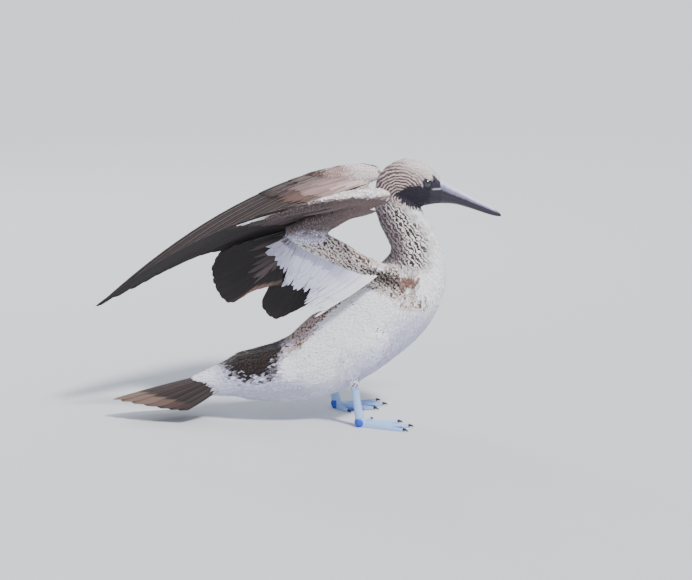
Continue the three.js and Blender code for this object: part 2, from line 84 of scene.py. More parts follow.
# Fans of flight feathers: where the shafts start and end, and how far their middles bulge
PRIMARIES = {
    "roots": [(98, 112, 314), (60, 121, 322), (4, 131, 326, 0.14)],
    "tips": [
        (-92, 44, 251, 0.32), (-134, 32, 241, 0.28), (-186, 20, 216, 0.26), (-228, 14, 193, 0.25),
        (-283, 15, 165, 0.24),
    ],
    "bulge": [(0, 4, 8), (2, -6, 45)],
}
SECONDARIES = {
    "roots": [(-12, 78, 270, 0.9), (30, 92, 288, 0.6), (70, 104, 304, 0.3), (96, 112, 312, 0.1)],
    "tips": [
        (-22, 52, 203, 0.8), (-62, 49, 194, 0.75), (-96, 44, 176, 0.65), (-116, 41, 202, 0.6),
        (-118, 44, 230, 0.5), (-96, 54, 254, 0.45), (-52, 74, 272, 0.45),
    ],
    "bulge": [(-4, 0, 4), (0, -4, 6)],
}
HUMERALS = {
    "roots": [(62, 54, 232, 0.5), (28, 63, 250, 0.7), (-6, 72, 264, 0.9)],
    "tips": [
        (26, 46, 181, 0.6), (-4, 43, 164, 0.6), (-33, 39, 152, 0.6), (-51, 39, 172, 0.65),
        (-42, 44, 196, 0.8),
    ],
    "bulge": [(-4, -4, -4), (-6, -6, 0)],
}
AXILLARS = {
    "roots": [(98, 58, 208, 0.2), (52, 68, 234, 0.5), (4, 82, 262, 0.8), (-16, 88, 276, 1)],
    "tips": [
        (24, 58, 158, 0.3), (-2, 61, 170, 0.45), (12, 65, 192, 0.6), (-14, 66, 202, 0.8), (-24, 70, 226, 0.9),
        (-50, 76, 258, 1),
    ],
    "bulge": [(0, 6, 0), (-2, 4, 0)],
}
TAIL_FAN = {
    "roots": [(-112, 1.4, 68), (-112, 12, 62), (-108, 20, 48)],
    "tips": [(-262, 1.4, 29), (-228, 18, 26.5), (-186, 31, 22), (-156, 37, 20.5)],
    "bulge": [(0, 0, 3), (0, 2, -2)],
}

# The joint of the toes: x and distance from the midline
TOE_BASE = (86, 52)
# Toes: degrees outwards from straight ahead, length, half width at the root
TOES = {
    "hallux": (-62, 32, 4), "inner": (-16, 54, 4.6), "middle": (7, 66, 5), "outer": (27, 64, 4.4),
}

# The camera: 3.2 m from the bird, 12 degrees above it, with the photo's field of view
PHOTO_WIDTH = 692
FOCAL_PIXELS = 2285.7
SENSOR_WIDTH = 36.0
CAMERA_PLACE = Vector((-42.0, -3128.2, 848.9)) * MM
CAMERA_AIM = Vector((67.2, 0.0, 183.6)) * MM
# How much lower the camera sees a place for each millimetre that it stands out from the midline
CAMERA_SLOPE = 0.2126


# Numbers and curves

def unit(v):
    return v / np.maximum(np.linalg.norm(v, axis=-1, keepdims=True), 1e-12)


def smoothstep(low, high, x):
    t = np.clip((np.asarray(x, float) - low) / (high - low), 0, 1)
    return t * t * (3 - 2 * t)


def mix(a, b, t):
    return a + (b - a) * t


def place(point, side=RIGHT):
    """A point of one side in metres. The left wing comes down by its share of the drop."""
    drop = LEFT_ELBOW_DROP * point[3] if side == LEFT and len(point) > 3 else 0
    return np.array((point[0], side * point[1], point[2] - drop)) * MM


def along(points, t):
    """Places at the shares t along a smooth curve through the points."""
    points = np.asarray(points, float)
    reach = np.array([2 * points[0] - points[1], *points, 2 * points[-1] - points[-2]])
    s = np.clip(np.asarray(t, float), 0, 1) * (len(points) - 1)
    i = np.minimum(s.astype(int), len(points) - 2)
    w = (s - i)[..., None]
    p0, p1, p2, p3 = (reach[i + k] for k in range(4))

    def gap(a, b):
        return np.maximum(np.linalg.norm(b - a, axis=-1, keepdims=True) ** 0.5, 1e-7)

    d0, d1, d2 = gap(p0, p1), gap(p1, p2), gap(p2, p3)
    m1 = ((p1 - p0) / d0 - (p2 - p0) / (d0 + d1) + (p2 - p1) / d1) * d1
    m2 = ((p2 - p1) / d1 - (p3 - p1) / (d1 + d2) + (p3 - p2) / d2) * d1
    w2, w3 = w * w, w * w * w
    return (2 * w3 - 3 * w2 + 1) * p1 + (w3 - 2 * w2 + w) * m1 + (3 * w2 - 2 * w3) * p2 + (w3 - w2) * m2


def fan_surface(fan, side, t, r):
    """Places on a fan of feathers: t runs over the feathers, r from root to tip."""
    root = along([place(p, side) for p in fan["roots"]], t)
    tip = along([place(p, side) for p in fan["tips"]], t)
    first, last = (place(p, side) for p in fan["bulge"])
    middle = (root + tip) / 2 + first + (last - first) * t[..., None]
    r = r[..., None]
    return (1 - r) ** 2 * root + 2 * r * (1 - r) * middle + r**2 * tip


# Meshes

def new_piece(name, data):
    piece = bpy.data.objects.new(name, data)
    bpy.context.scene.collection.objects.link(piece)
    return piece


def applied(piece):
    """The mesh of a piece with its modifiers applied. The piece itself is removed."""
    bpy.context.view_layer.update()
    graph = bpy.context.evaluated_depsgraph_get()
    mesh = bpy.data.meshes.new_from_object(piece.evaluated_get(graph))
    bpy.data.objects.remove(piece)
    return mesh


def finished(bm, name):
    """A mesh from a bmesh, with its doubles merged and its faces turned outwards."""
    bmesh.ops.remove_doubles(bm, verts=bm.verts, dist=1e-7)
    bmesh.ops.recalc_face_normals(bm, faces=bm.faces)
    mesh = bpy.data.meshes.new(name)
    bm.to_mesh(mesh)
    bm.free()
    return mesh


def node_copy(bm, *nodes):
    """Adds copies of CAD nodes to a bmesh, each closed again."""
    for node in nodes:
        bm.from_mesh(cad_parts[node].data)
    bmesh.ops.remove_doubles(bm, verts=bm.verts, dist=1e-6)


def remeshed(bm, voxel, smoothing, name):
    """One closed and smoothed surface round closed bodies that meet or overlap."""
    piece = new_piece(name, finished(bm, name))
    remesh = piece.modifiers.new("remesh", "REMESH")
    remesh.mode = "VOXEL"
    remesh.voxel_size = voxel
    out = bmesh.new()
    out.from_mesh(applied(piece))
    for _ in range(smoothing):
        bmesh.ops.smooth_vert(
            out, verts=out.verts, factor=0.5, use_axis_x=True, use_axis_y=True, use_axis_z=True
        )
    out.normal_update()
    return out


def places_of(bm):
    return np.array([v.co[:] for v in bm.verts])


def normals_of(bm):
    return np.array([v.normal[:] for v in bm.verts])


def vectors_of(items, key="co"):
    """One vector for each item of a mesh, such as its vertices or their normals."""
    flat = np.empty(len(items) * 3)
    items.foreach_get(key, flat)
    return flat.reshape(-1, 3)


def smooth(mesh):
    mesh.polygons.foreach_set("use_smooth", [True] * len(mesh.polygons))


def put_places(bm, places):
    for vertex, spot in zip(bm.verts, places):
        vertex.co = spot
    bm.normal_update()


def sink(bm, depth):
    """Moves the surface in by a depth for each vertex, in metres."""
    put_places(bm, places_of(bm) - normals_of(bm) * depth[:, None])


def oval_ring(bm, centre, up, across, high, wide, sides, flat_below=1.0):
    """An oval of edges round a centre. flat_below under 1 flattens its lower half."""
    ring = bmesh.ops.create_circle(bm, segments=sides, radius=1.0)["verts"]
    up, across, centre = Vector(up), Vector(across), Vector(centre)
    for vertex in ring:
        x, y = vertex.co.x, vertex.co.y
        rise = y * high * (flat_below if y < 0 else 1.0)
        vertex.co = centre + across * (x * wide) + up * rise
    return ring


def loft(bm, rings):
    """Bridges rings of equally many sides, and closes both ends."""
    edges = [{e for v in ring for e in v.link_edges if e.other_vert(v) in ring} for ring in rings]
    for first, second in zip(edges, edges[1:]):
        bmesh.ops.bridge_loops(bm, edges=list(first | second))
    for ends in (edges[0], edges[-1]):
        bmesh.ops.edgenet_fill(bm, edges=list(ends))


# The skin: bodies of flesh under the feathers, with the bare face, legs and feet

EYE_OUT = {side: unit(np.array((0.2, side, 0.06))) for side in (RIGHT, LEFT)}
COAT_DEPTH = {"head": 0.6, "neck": 1.0, "trunk": 1.4, "arm": 0.8}
MOST_SUNK = 0.1
BODY_VOXEL = 2.2 * MM
HEAD_VOXEL = 0.85 * MM
LEG_VOXEL = 0.9 * MM
LID_REACH = 5.5
LID_THICK = 1.15
# The skin of the face lies above this height, and the head's own skin ends at the second one
FACE_LOW = 280
HEAD_CUT = 268


def eye_place(side):
    return place(EYE_CENTRE, side)


def eye_frame(side):
    """A turn that takes +Z to the way an eye looks and +X forwards, moved to the eye's centre."""
    out = Vector(EYE_OUT[side])
    ahead = Vector((1, 0, -0.1))
    forward = (ahead - out * out.dot(ahead)).normalized()
    turn = Matrix((forward, out.cross(forward), out)).transposed().to_4x4()
    return Matrix.Translation(Vector(eye_place(side))) @ turn


def add_lids(bm, side):
    """The two lids of an eye as one thick ring that hugs the eyeball, a little longer than high."""
    ring = bmesh.new()
    circle = bmesh.ops.create_circle(ring, segments=12, radius=LID_THICK * MM)["verts"]
    bmesh.ops.rotate(ring, verts=circle, matrix=Matrix.Rotation(math.pi / 2, 3, "X"))
    rise = math.sqrt((EYE_RADIUS + 0.3) ** 2 - LID_REACH**2)
    bmesh.ops.translate(ring, verts=circle, vec=(LID_REACH * MM, 0, rise * MM))
    bmesh.ops.spin(
        ring, geom=ring.verts[:] + ring.edges[:], cent=(0, 0, 0), axis=(0, 0, 1),
        angle=2 * math.pi, steps=40, use_merge=True,
    )
    bmesh.ops.scale(ring, verts=ring.verts, vec=(1.07, 0.94, 1.0))
    bmesh.ops.transform(ring, verts=ring.verts, matrix=eye_frame(side))
    add_mesh(bm, finished(ring, "lids"))


def add_mesh(bm, mesh):
    bm.from_mesh(mesh)
    bpy.data.meshes.remove(mesh)


def add_ball(bm, centre, sizes, turn=None):
    """A ball stretched to three half sizes, all in millimetres."""
    ball = bmesh.new()
    bmesh.ops.create_icosphere(ball, subdivisions=3, radius=1.0)
    bmesh.ops.scale(ball, verts=ball.verts, vec=[s * MM for s in sizes])
    if turn is not None:
        bmesh.ops.rotate(ball, verts=ball.verts, matrix=turn)
    bmesh.ops.translate(ball, verts=ball.verts, vec=[c * MM for c in centre])
    add_mesh(bm, finished(ball, "ball"))


def eye_distance(p):
    """How far places in millimetres lie from the nearer eye's centre."""
    return np.minimum(*(np.linalg.norm(p - eye_place(side) / MM, axis=1) for side in (RIGHT, LEFT)))


def bareness(p):
    """How bare the head's skin is at places in millimetres: 1 on the face, 0 under feathers."""
    ring = 1 - smoothstep(8.6, 9.8, eye_distance(p))
    crown = along([(s[0], s[1], 0) for s in HEAD_STATIONS], np.linspace(0, 1, 40))
    over = np.interp(p[:, 0], crown[:, 0], crown[:, 1])
    lore = smoothstep(184, 188, p[:, 0]) * (1 - smoothstep(-7.5, -5.0, p[:, 2] - over))
    chin = smoothstep(176, 180, p[:, 0]) * (1 - smoothstep(307, 310, p[:, 2])) * (p[:, 2] > 299)
    return np.maximum.reduce([ring, lore, chin])


def head_skin():
    """The head with its lids, brows and face, down into the neck."""
    bm = bmesh.new()
    node_copy(bm, "head", "neck")
    cut = bm.verts[:] + bm.edges[:] + bm.faces[:]
    low = bmesh.ops.bisect_plane(
        bm, geom=cut, plane_co=(0, 0, HEAD_CUT * MM), plane_no=(0, 0, -1), clear_outer=True
    )
    bmesh.ops.holes_fill(bm, edges=[e for e in low["geom_cut"] if isinstance(e, bmesh.types.BMEdge)])
    for side in (RIGHT, LEFT):
        add_lids(bm, side)
        add_ball(bm, (182.5, side * 16.6, 343.2), (8.5, 2.6, 2.2), Matrix.Rotation(0.35, 3, "Y"))
    out = remeshed(bm, HEAD_VOXEL, 3, "head_skin")
    p = places_of(out) / MM
    bare = bareness(p)
    depth = mix(COAT_DEPTH["head"], 0.15, bare)
    depth += 4.5 * (1 - smoothstep(272, 300, p[:, 2]))
    for side in (RIGHT, LEFT):
        lore = np.linalg.norm((p - (191.5, side * 14, 330)) / (6.5, 8, 5.5), axis=1)
        depth += 1.0 * np.exp(-(lore**2))
    sink(out, depth * MM)
    return out


def thickness(bm):
    """How thick the body is under each vertex, in metres."""
    tree = BVHTree.FromBMesh(bm)
    out = []
    for vertex in bm.verts:
        inwards = -vertex.normal
        distance = tree.ray_cast(vertex.co + inwards * 0.05 * MM, inwards)[3]
        out.append(0.1 if distance is None else distance)
    return np.array(out)


def body_skin():
    bm = bmesh.new()
    node_copy(bm, "trunk", "neck", "head", "tail")
    for side in (RIGHT, LEFT):
        word = WORDS[side]
        node_copy(bm, f"upper_arm_{word}", f"forearm_{word}", f"hand_{word}", f"shank_{word}")
    out = remeshed(bm, BODY_VOXEL, 3, "body_skin")
    p = places_of(out) / MM
    outer = smoothstep(50, 64, np.abs(p[:, 1])) * smoothstep(190, 215, p[:, 2])
    depth = np.where(p[:, 2] > 215, COAT_DEPTH["neck"], COAT_DEPTH["trunk"])
    depth = mix(depth, COAT_DEPTH["arm"], outer)
    depth += (1 - outer) * 3.5 * smoothstep(276, 302, p[:, 2]) * (np.abs(p[:, 1]) < 45)
    sink(out, np.minimum(depth * MM, thickness(out) * MOST_SUNK))
    return out


def leg_back(side):
    return LEFT_LEG_STEP_BACK if side == LEFT else 0


def toe_ahead(angle, side):
    """The way a toe points on the ground."""
    turn = math.radians(angle)
    return np.array((math.cos(turn), side * math.sin(turn)))


def from_toe_base(p, side):
    """Where places in millimetres lie on the ground, as seen from the joint of the toes."""
    return p[:, :2] - np.array((TOE_BASE[0] - leg_back(side), side * TOE_BASE[1]))


def scute_depth(p, normals, side):
    """How deep the grooves between the scales lie, in millimetres, at places of one leg."""
    rel = from_toe_base(p, side)
    upwards = np.clip(normals[:, 2], 0, 1)
    on_foot = 1 - smoothstep(13, 17, p[:, 2])
    depth = np.zeros(len(p))
    for angle, length, wide in TOES.values():
        ahead = toe_ahead(angle, side)
        s = rel @ ahead
        q = rel @ np.array((-ahead[1], ahead[0]))
        near = np.exp(-((q / wide) ** 2)) * smoothstep(6, 10, s) * (1 - smoothstep(length, length + 2, s))
        depth += near * upwards * 0.42 * (0.5 + 0.5 * np.cos(s * 2 * math.pi / 3.0)) ** 3
        web = smoothstep(0.8, 1.6, np.abs(q) / wide) * smoothstep(14, 22, s)
        depth += web * 0.03 * np.cos(s * 2 * math.pi / 2.2)
    front = smoothstep(-0.1, 0.5, normals[:, 0]) * (1 - on_foot) * (1 - smoothstep(64, 68, p[:, 2]))
    depth += front * 0.36 * (0.5 + 0.5 * np.cos(p[:, 2] * 2 * math.pi / 3.4)) ** 3 * np.abs(normals[:, 0])
    return depth * np.where(p[:, 2] < 15, on_foot, 1)


def leg_skin(side):
    """A bare tarsus and webbed foot with scutes. Its top reaches up into the shank."""
    word = WORDS[side]
    bm = bmesh.new()
    node_copy(bm, f"tarsus_{word}", f"foot_{word}")
    back = leg_back(side)
    add_ball(bm, (76.5 - back, side * HALF_STANCE, 67), (6.6, 5.4, 9))
    add_ball(bm, (75.5 - back, side * HALF_STANCE, 80), (8, 6, 14))
    out = remeshed(bm, LEG_VOXEL, 3, "leg_skin")
    sink(out, scute_depth(places_of(out) / MM, normals_of(out), side) * MM)
    p = places_of(out)
    sole = 3 * MM
    press = 0.35 * MM
    p[:, 2] = np.where(p[:, 2] < sole, np.maximum(p[:, 2] - press * (1 - p[:, 2] / sole), 0), p[:, 2])
    put_places(out, p)
    return out


def united(bodies, name):
    """The union of closed bodies as one mesh."""
    base = new_piece(name, finished(bodies[0], name))
    tools = [new_piece("tool", finished(body, "tool")) for body in bodies[1:]]
    for tool in tools:
        join = base.modifiers.new("join", "BOOLEAN")
        join.operation = "UNION"
        join.solver = "MANIFOLD"
        join.object = tool
    mesh = applied(base)
    for tool in tools:
        bpy.data.objects.remove(tool)
    mesh.name = name
    return mesh


skin_mesh = united([body_skin(), head_skin(), leg_skin(RIGHT), leg_skin(LEFT)], "skin")
skin_shape = bmesh.new()
skin_shape.from_mesh(skin_mesh)
skin_tree = BVHTree.FromBMesh(skin_shape)


# Plumage colours

def tone(red, green, blue):
    """A colour as the eye sees it, turned to the linear numbers of a shader."""
    c = np.array((red, green, blue))
    return np.where(c <= 0.04045, c / 12.92, ((c + 0.055) / 1.055) ** 2.4)


WHITE = tone(0.97, 0.965, 0.975)
# White plumage tinted lavender as painted shade
SHADED_WHITE = tone(0.84, 0.835, 0.92)
# Lavender grey for white plumage in painted shade
SHADE_GREY = tone(0.62, 0.60, 0.68)
CREAM = tone(0.87, 0.82, 0.79)
PINK_TAN = tone(0.75, 0.66, 0.64)
RUFOUS = tone(0.50, 0.37, 0.33)
BROWN = tone(0.40, 0.30, 0.27)
DARK_BROWN = tone(0.22, 0.165, 0.155)
BLACK_BROWN = tone(0.105, 0.08, 0.08)
HIND_NECK = tone(0.37, 0.30, 0.325)
FLECK_DARK = tone(0.22, 0.175, 0.18)
FLECK_PALE = tone(0.93, 0.90, 0.885)
STREAK_PALE = tone(0.83, 0.76, 0.745)
SHADE_LAVENDER = tone(0.70, 0.695, 0.80)
CROWN = tone(0.36, 0.29, 0.285)
SLATE = tone(0.15, 0.135, 0.18)
LORE = tone(0.13, 0.11, 0.22)
# The feet's blue, paler on the tarsus and toes as painted sunlight and deeper on the webs as painted shade
SUNLIT_LEG_BLUE = tone(0.62, 0.74, 0.92)
SHADED_WEB_BLUE = tone(0.15, 0.33, 0.76)
TAN = tone(0.60, 0.50, 0.48)
PALE_PINK = tone(0.84, 0.77, 0.76)
DUSK = tone(0.27, 0.23, 0.235)
GREY_BROWN = tone(0.42, 0.355, 0.35)
TAIL_TAN = tone(0.43, 0.35, 0.31)


def ripple(p, size, turn=0.0):
    """An even swell of about one size in millimetres, between -1 and 1, at places p."""
    a = p @ np.array((0.91, 0.33, -0.27)) + 0.4 * turn
    b = p @ np.array((-0.31, 0.87, 0.42)) - 1.7 * turn
    c = p @ np.array((0.24, -0.38, 0.93)) + 2.3 * turn
    k = 2 * math.pi / size
    return (np.sin(a * k + 1.3 * np.sin(c * k * 0.7)) + np.sin(b * k + turn) + np.sin(c * k * 1.3)) / 3


def paint(base, colour, share):
    return base + (colour - base) * np.clip(share, 0, 1)[:, None]


def blob(x, h, centre, sizes, degrees, ragged, soft=0.35):
    """A patch of the side view: an oval with a ragged edge, 1 inside and 0 outside."""
    turn = math.radians(degrees)
    dx, dh = x - centre[0], h - centre[1]
    a = (dx * math.cos(turn) + dh * math.sin(turn)) / sizes[0]
    b = (dh * math.cos(turn) - dx * math.sin(turn)) / sizes[1]
    return 1 - smoothstep(1 - soft, 1 + soft, np.hypot(a, b) + ragged)


# The lie of the feathers: capsules along the body's lengths, each with its flow

SPINE = [
    (206, 0, 322, 12), (184, 0, 334, 22), (160, 0, 336, 30), (146, 0, 322, 27), (142, 0, 302, 28),
    (148, 0, 280, 29), (157, 0, 258, 34), (165, 0, 235, 38), (166, 0, 212, 43), (157, 0, 188, 49),
    (137, 0, 165, 55), (105, 0, 141, 57), (69, 0, 113, 58), (31, 0, 88, 55), (-4, 0, 70, 50),
    (-36, 0, 64, 44), (-77, 0, 61, 35), (-110, 0, 56, 27), (-150, 0, 49, 14), (-190, 0, 38, 10),
]
LIMB_FLOW = {
    "upper_arm": ((-0.7, 0, -0.7), (-0.45, -0.25, -0.85)),
    "forearm": ((-0.4, -0.3, -0.85), (-0.95, -0.25, -0.25)),
    "hand": ((-0.93, -0.3, -0.3), (-0.82, -0.33, -0.45)),
    "shank": ((-0.75, 0, -0.7), (-0.15, 0, -1)),
}
LIMBS = {"upper_arm": UPPER_ARM, "forearm": FOREARM, "hand": HAND, "shank": SHANK}
LIMB_RADII = {
    "upper_arm": (22, 19, 16, 13, 12, 11), "forearm": (11, 10, 9, 9), "hand": (10, 10, 9, 7, 4),
    "shank": (37, 33, 21, 12, 7),
}


def flow_table():
    """Start, end, two radii, two flows, chain number and length so far, of each capsule."""
    rows = []

    def chain(points, radii, flows, number):
        so_far = 0.0
        for i in range(len(points) - 1):
            a, b = points[i], points[i + 1]
            rows.append((*a, *b, radii[i], radii[i + 1], *flows[i], *flows[i + 1], number, so_far))
            so_far += np.linalg.norm(b - a)

    spine = np.array([s[:3] for s in SPINE], float)
    chain(spine, [s[3] for s in SPINE], unit(np.gradient(spine, axis=0)), 0)
    for side in (RIGHT, LEFT):
        for number, (word, points) in enumerate(LIMBS.items()):
            places = np.array([place(q, side) for q in points]) / MM
            if word == "shank":
                places[:, 0] -= leg_back(side)
            start, end = (np.array(f) * (1, side, 1) for f in LIMB_FLOW[word])
            share = np.linspace(0, 1, len(places))[:, None]
            first = 1 if side == RIGHT else 5
            chain(places, LIMB_RADII[word], unit(start + (end - start) * share), first + number)
    return np.array(rows)


FLOWS = flow_table()


def flow_at(p):
    """For places in millimetres: the feathers' lie, the nearest chain and the length along it."""
    best = np.full(len(p), 1e9)
    lie = np.zeros((len(p), 3))
    chain = np.zeros(len(p))
    run = np.zeros(len(p))
    for row in FLOWS:
        a, b, radii, flows = row[:3], row[3:6], row[6:8], row[8:14].reshape(2, 3)
        step = b - a
        t = np.clip((p - a) @ step / (step @ step), 0, 1)
        gap = np.linalg.norm(p - a - t[:, None] * step, axis=1) / mix(radii[0], radii[1], t)
        lie += np.exp(-5 * gap**2)[:, None] * (flows[0] + (flows[1] - flows[0]) * t[:, None])
        nearer = gap < best
        best = np.where(nearer, gap, best)
        chain = np.where(nearer, row[14], chain)
        run = np.where(nearer, row[15] + t * math.sqrt(step @ step), run)
    return unit(lie), chain.astype(int), run


HEAD_RUN = 78
# The crown's pale streaks run round this x and z; the neck's flecks lie at a slope
CROWN_CENTRE = (140, 316)
CROWN_SCALE = 78.0
FLECK_SLOPE = math.radians(-52)
FLECK_SCALE = 64.0


def side_markings(mark, p, x, h, rag):
    """The white flank and breast, the brown back and rump, and the vent greyed as painted shade."""
    # The white patches are the white plumage where light falls; elsewhere it keeps the lavender of painted
    # shade
    mark(WHITE, blob(x, h, (90, 143), (60, 38), 25, rag))
    mark(WHITE, blob(x, h, (38, 92), (36, 40), 50, rag))
    mark(WHITE, smoothstep(140, 176, h + 12 * rag) * (x > 60))
    spine_high = np.interp(x, [-150, -100, -36, 31, 105, 125], [49, 58, 64, 88, 141, 200])
    half_high = np.interp(x, [-150, -60, 40, 120], [12, 38, 56, 58])
    over = (p[:, 2] - spine_high) / half_high + 0.2 * rag
    back = smoothstep(0.86, 1.0, over) * (x < 112) * smoothstep(-112, -98, x) * (np.abs(p[:, 1]) < 30)
    mark(BROWN, back, PINK_TAN, 0.2)
    mark(BLACK_BROWN, blob(x, h, (-56, 82), (44, 26), -4, 1.2 * rag) * (h > 36), DARK_BROWN, 0.12)
    mark(BLACK_BROWN, blob(x, h, (-30, 99), (26, 15), 38, 1.2 * rag), DARK_BROWN, 0.12)
    mark(BROWN, blob(x, h, (8, 113), (32, 6), 42, 1.2 * rag), PINK_TAN, 0.25)
    mark(WHITE, blob(x, h, (-4, 76), (13, 18), 0, rag))
    # Painted shade: the belly's underside and vent greyed
    mark(SHADE_GREY, blob(x, h, (-30, 38), (60, 14), 8, rag) * 0.45)
    mark(WHITE, smoothstep(-96, -114, x + 12 * rag) * 0.7)


def neck_markings(mark, x, h, rag, neck):
    """Dark feathers with pale flecks, purple-brown behind and white in front."""
    heights = [195, 230, 258, 275, 290, 305, 320]
    front = np.interp(h, heights, [188, 194, 194, 184, 172, 156, 144])
    rear = np.interp(h, heights, [118, 130, 127, 120, 112, 108, 106])
    across = (x - rear) / (front - rear) + 0.3 * rag
    low = neck * smoothstep(206, 226, h + 12 * rag)
    mark(FLECK_DARK, low * (1 - smoothstep(0.55, 1.0, across)), lines=(0, 1))
    mark(HIND_NECK, low * (1 - smoothstep(0.14, 0.42, across)), lines=(0, 0.3))


def shoulder_markings(mark, p, x, h, rag, loose, arm):
    """The mottled strip down the upper arm and the brown patches at its foot."""
    strip = blob(x, h, (102, 218), (70, 15), -36, rag) * (np.abs(p[:, 1]) > 12)
    strip = np.maximum(strip, arm)
    patchy = ripple(p, 13, 3.0) + 0.9 * loose
    mark(BROWN, strip, CREAM, 0.16, (0, 0.7))
    mark(DARK_BROWN, strip * (patchy > 0.15), PINK_TAN, 0.14, (0, 0.6))
    low_edge = np.interp(x, [-20, 30, 80, 104, 134], [246, 236, 206, 190, 176])
    mark(WHITE, arm * (1 - smoothstep(-6, 8, h - low_edge + 16 * rag)), lines=(0, 0))
    mark(BLACK_BROWN, blob(x, h, (126, 206), (34, 9), -30, 1.3 * rag), BROWN, 0.12, (0, 0.15))
    mark(PALE_PINK, blob(x, h, (124, 222), (22, 6.5), -8, rag), WHITE, 0.3, (0, 0))
    mark(RUFOUS, blob(x, h, (156, 200), (12, 10), 0, 1.4 * rag), BROWN, 0.2)
    spots = blob(x, h, (158, 176), (34, 14), -16, 1.5 * rag) * (ripple(p, 10, 5.0) + 0.8 * loose > 0.15)
    mark(TAN, spots, CREAM, 0.25)
    mark(BROWN, spots * (loose > 0.3), CREAM, 0.2)


def hand_markings(mark, x, h, rag, limb, ventral):
    """Pale leading edge and wrist, brown underneath, and dark towards the wing's tip, the pale and the dark
    partly painted sunlight and shade.
    """
    mark(PALE_PINK, limb, WHITE, 0.12)
    mark(TAN, limb * smoothstep(104, 66, x + 24 * rag), PINK_TAN, 0.12)
    mark(DARK_BROWN, limb * smoothstep(62, 30, x + 20 * rag), BROWN, 0.12)
    # On the underside: paler above this line, partly as painted sunlight, and browner and dusky below it,
    # partly as painted shade
    line = np.interp(x, [-80, -40, 0, 66, 120], [276, 285, 300, 310, 312])
    below = 1 - smoothstep(-1.5, 2.5, h - line + 4 * rag)
    mark(PALE_PINK, limb * ventral * (1 - below), WHITE, 0.3)
    mark(GREY_BROWN, limb * ventral * below, BROWN, 0.12)
    mark(DUSK, limb * ventral * below * smoothstep(90, 30, x + 40 * rag), GREY_BROWN, 0.15)
    # Painted shade: the lowest part of the underside greyed
    mark(SHADE_GREY, limb * ventral * smoothstep(274, 256, h + 14 * rag) * (x < 60), SHADED_WHITE, 0.2)


def head_markings(mark, x, h, rag, head):
    """The streaked crown, pale in front, and the dark cheek and throat."""
    shade = 1 - smoothstep(-8, 30, 0.6 * (x - 150) + 1.0 * (h - 350) + 14 * rag)
    mark(CREAM, head, WHITE, 0.2, (0.4, 0))
    mark(CROWN, head * shade, TAN, 0.12, (1, 0))
    cheek_line = np.interp(x, [128, 139, 161, 171, 190], [318, 325, 331.5, 331, 333])
    throat_line = np.interp(x, [128, 139, 154, 168, 177], [322, 316, 304, 298, 297])
    dark = smoothstep(-2.5, 2.5, cheek_line - h + 5 * rag) * smoothstep(-2.5, 2.5, h - throat_line + 4 * rag)
    dark = dark * smoothstep(126, 142, x + 8 * rag) * (x > 120) * (h > 280)
    mark(SLATE, dark, SLATE * 1.6, 0.1, (0, 0))


def plumage(p, out, chain, run, loose):
    """Base and tip colours of feathers rooted at places p, the tip's share and the streaks."""
    x = p[:, 0]
    h = p[:, 2] - CAMERA_SLOPE * np.abs(p[:, 1])
    rag = 0.16 * ripple(p, 17) + 0.13 * ripple(p, 7, 2.0) + 0.22 * loose
    # Every feather starts as white in painted shade, tinted lavender
    base = np.tile(SHADED_WHITE, (len(p), 1))
    tip = base.copy()
    share = np.full(len(p), 0.3)
    streaks = np.zeros((len(p), 3))

    def mark(colour, amount, tip_colour=None, long=None, lines=None):
        nonlocal base, tip, share
        amount = np.clip(amount, 0, 1)
        base = paint(base, colour, amount)
        tip = paint(tip, colour if tip_colour is None else tip_colour, amount)
        if long is not None:
            share = mix(share, long, amount)
        if lines is not None:
            streaks[:, :2] += (np.array(lines) - streaks[:, :2]) * amount[:, None]

    spine = chain == 0
    kind = np.where(spine, -1, chain % 4)
    ventral = smoothstep(-0.25, 0.15, out[:, 1] * np.sign(p[:, 1]))
    side_markings(mark, p, x, h, rag)
    neck_markings(mark, x, h, rag, spine & (run > 40) & (run < 215))
    shoulder_markings(mark, p, x, h, rag, loose, kind == 1)
    hand_markings(mark, x, h, rag, kind > 1, ventral)
    head_markings(mark, x, h, rag, spine * (1 - smoothstep(HEAD_RUN - 6, HEAD_RUN + 8, run + 14 * rag)))
    share = share * (1 + 0.3 * loose)
    base *= (1 + 0.05 * loose)[:, None]
    return np.clip(base, 0, 1), np.clip(tip, 0, 1), share, streaks


# Materials

def new_material(name, roughness, **sockets):
    """A material with its shader. Other sockets are given by name, with _ for a space."""
    material = bpy.data.materials.new(name)
    material.use_nodes = True
    shader = material.node_tree.nodes["Principled BSDF"]
    shader.inputs["Roughness"].default_value = roughness
    for socket, value in sockets.items():
        shader.inputs[socket.replace("_", " ")].default_value = value
    return material, Tree(material.node_tree), shader


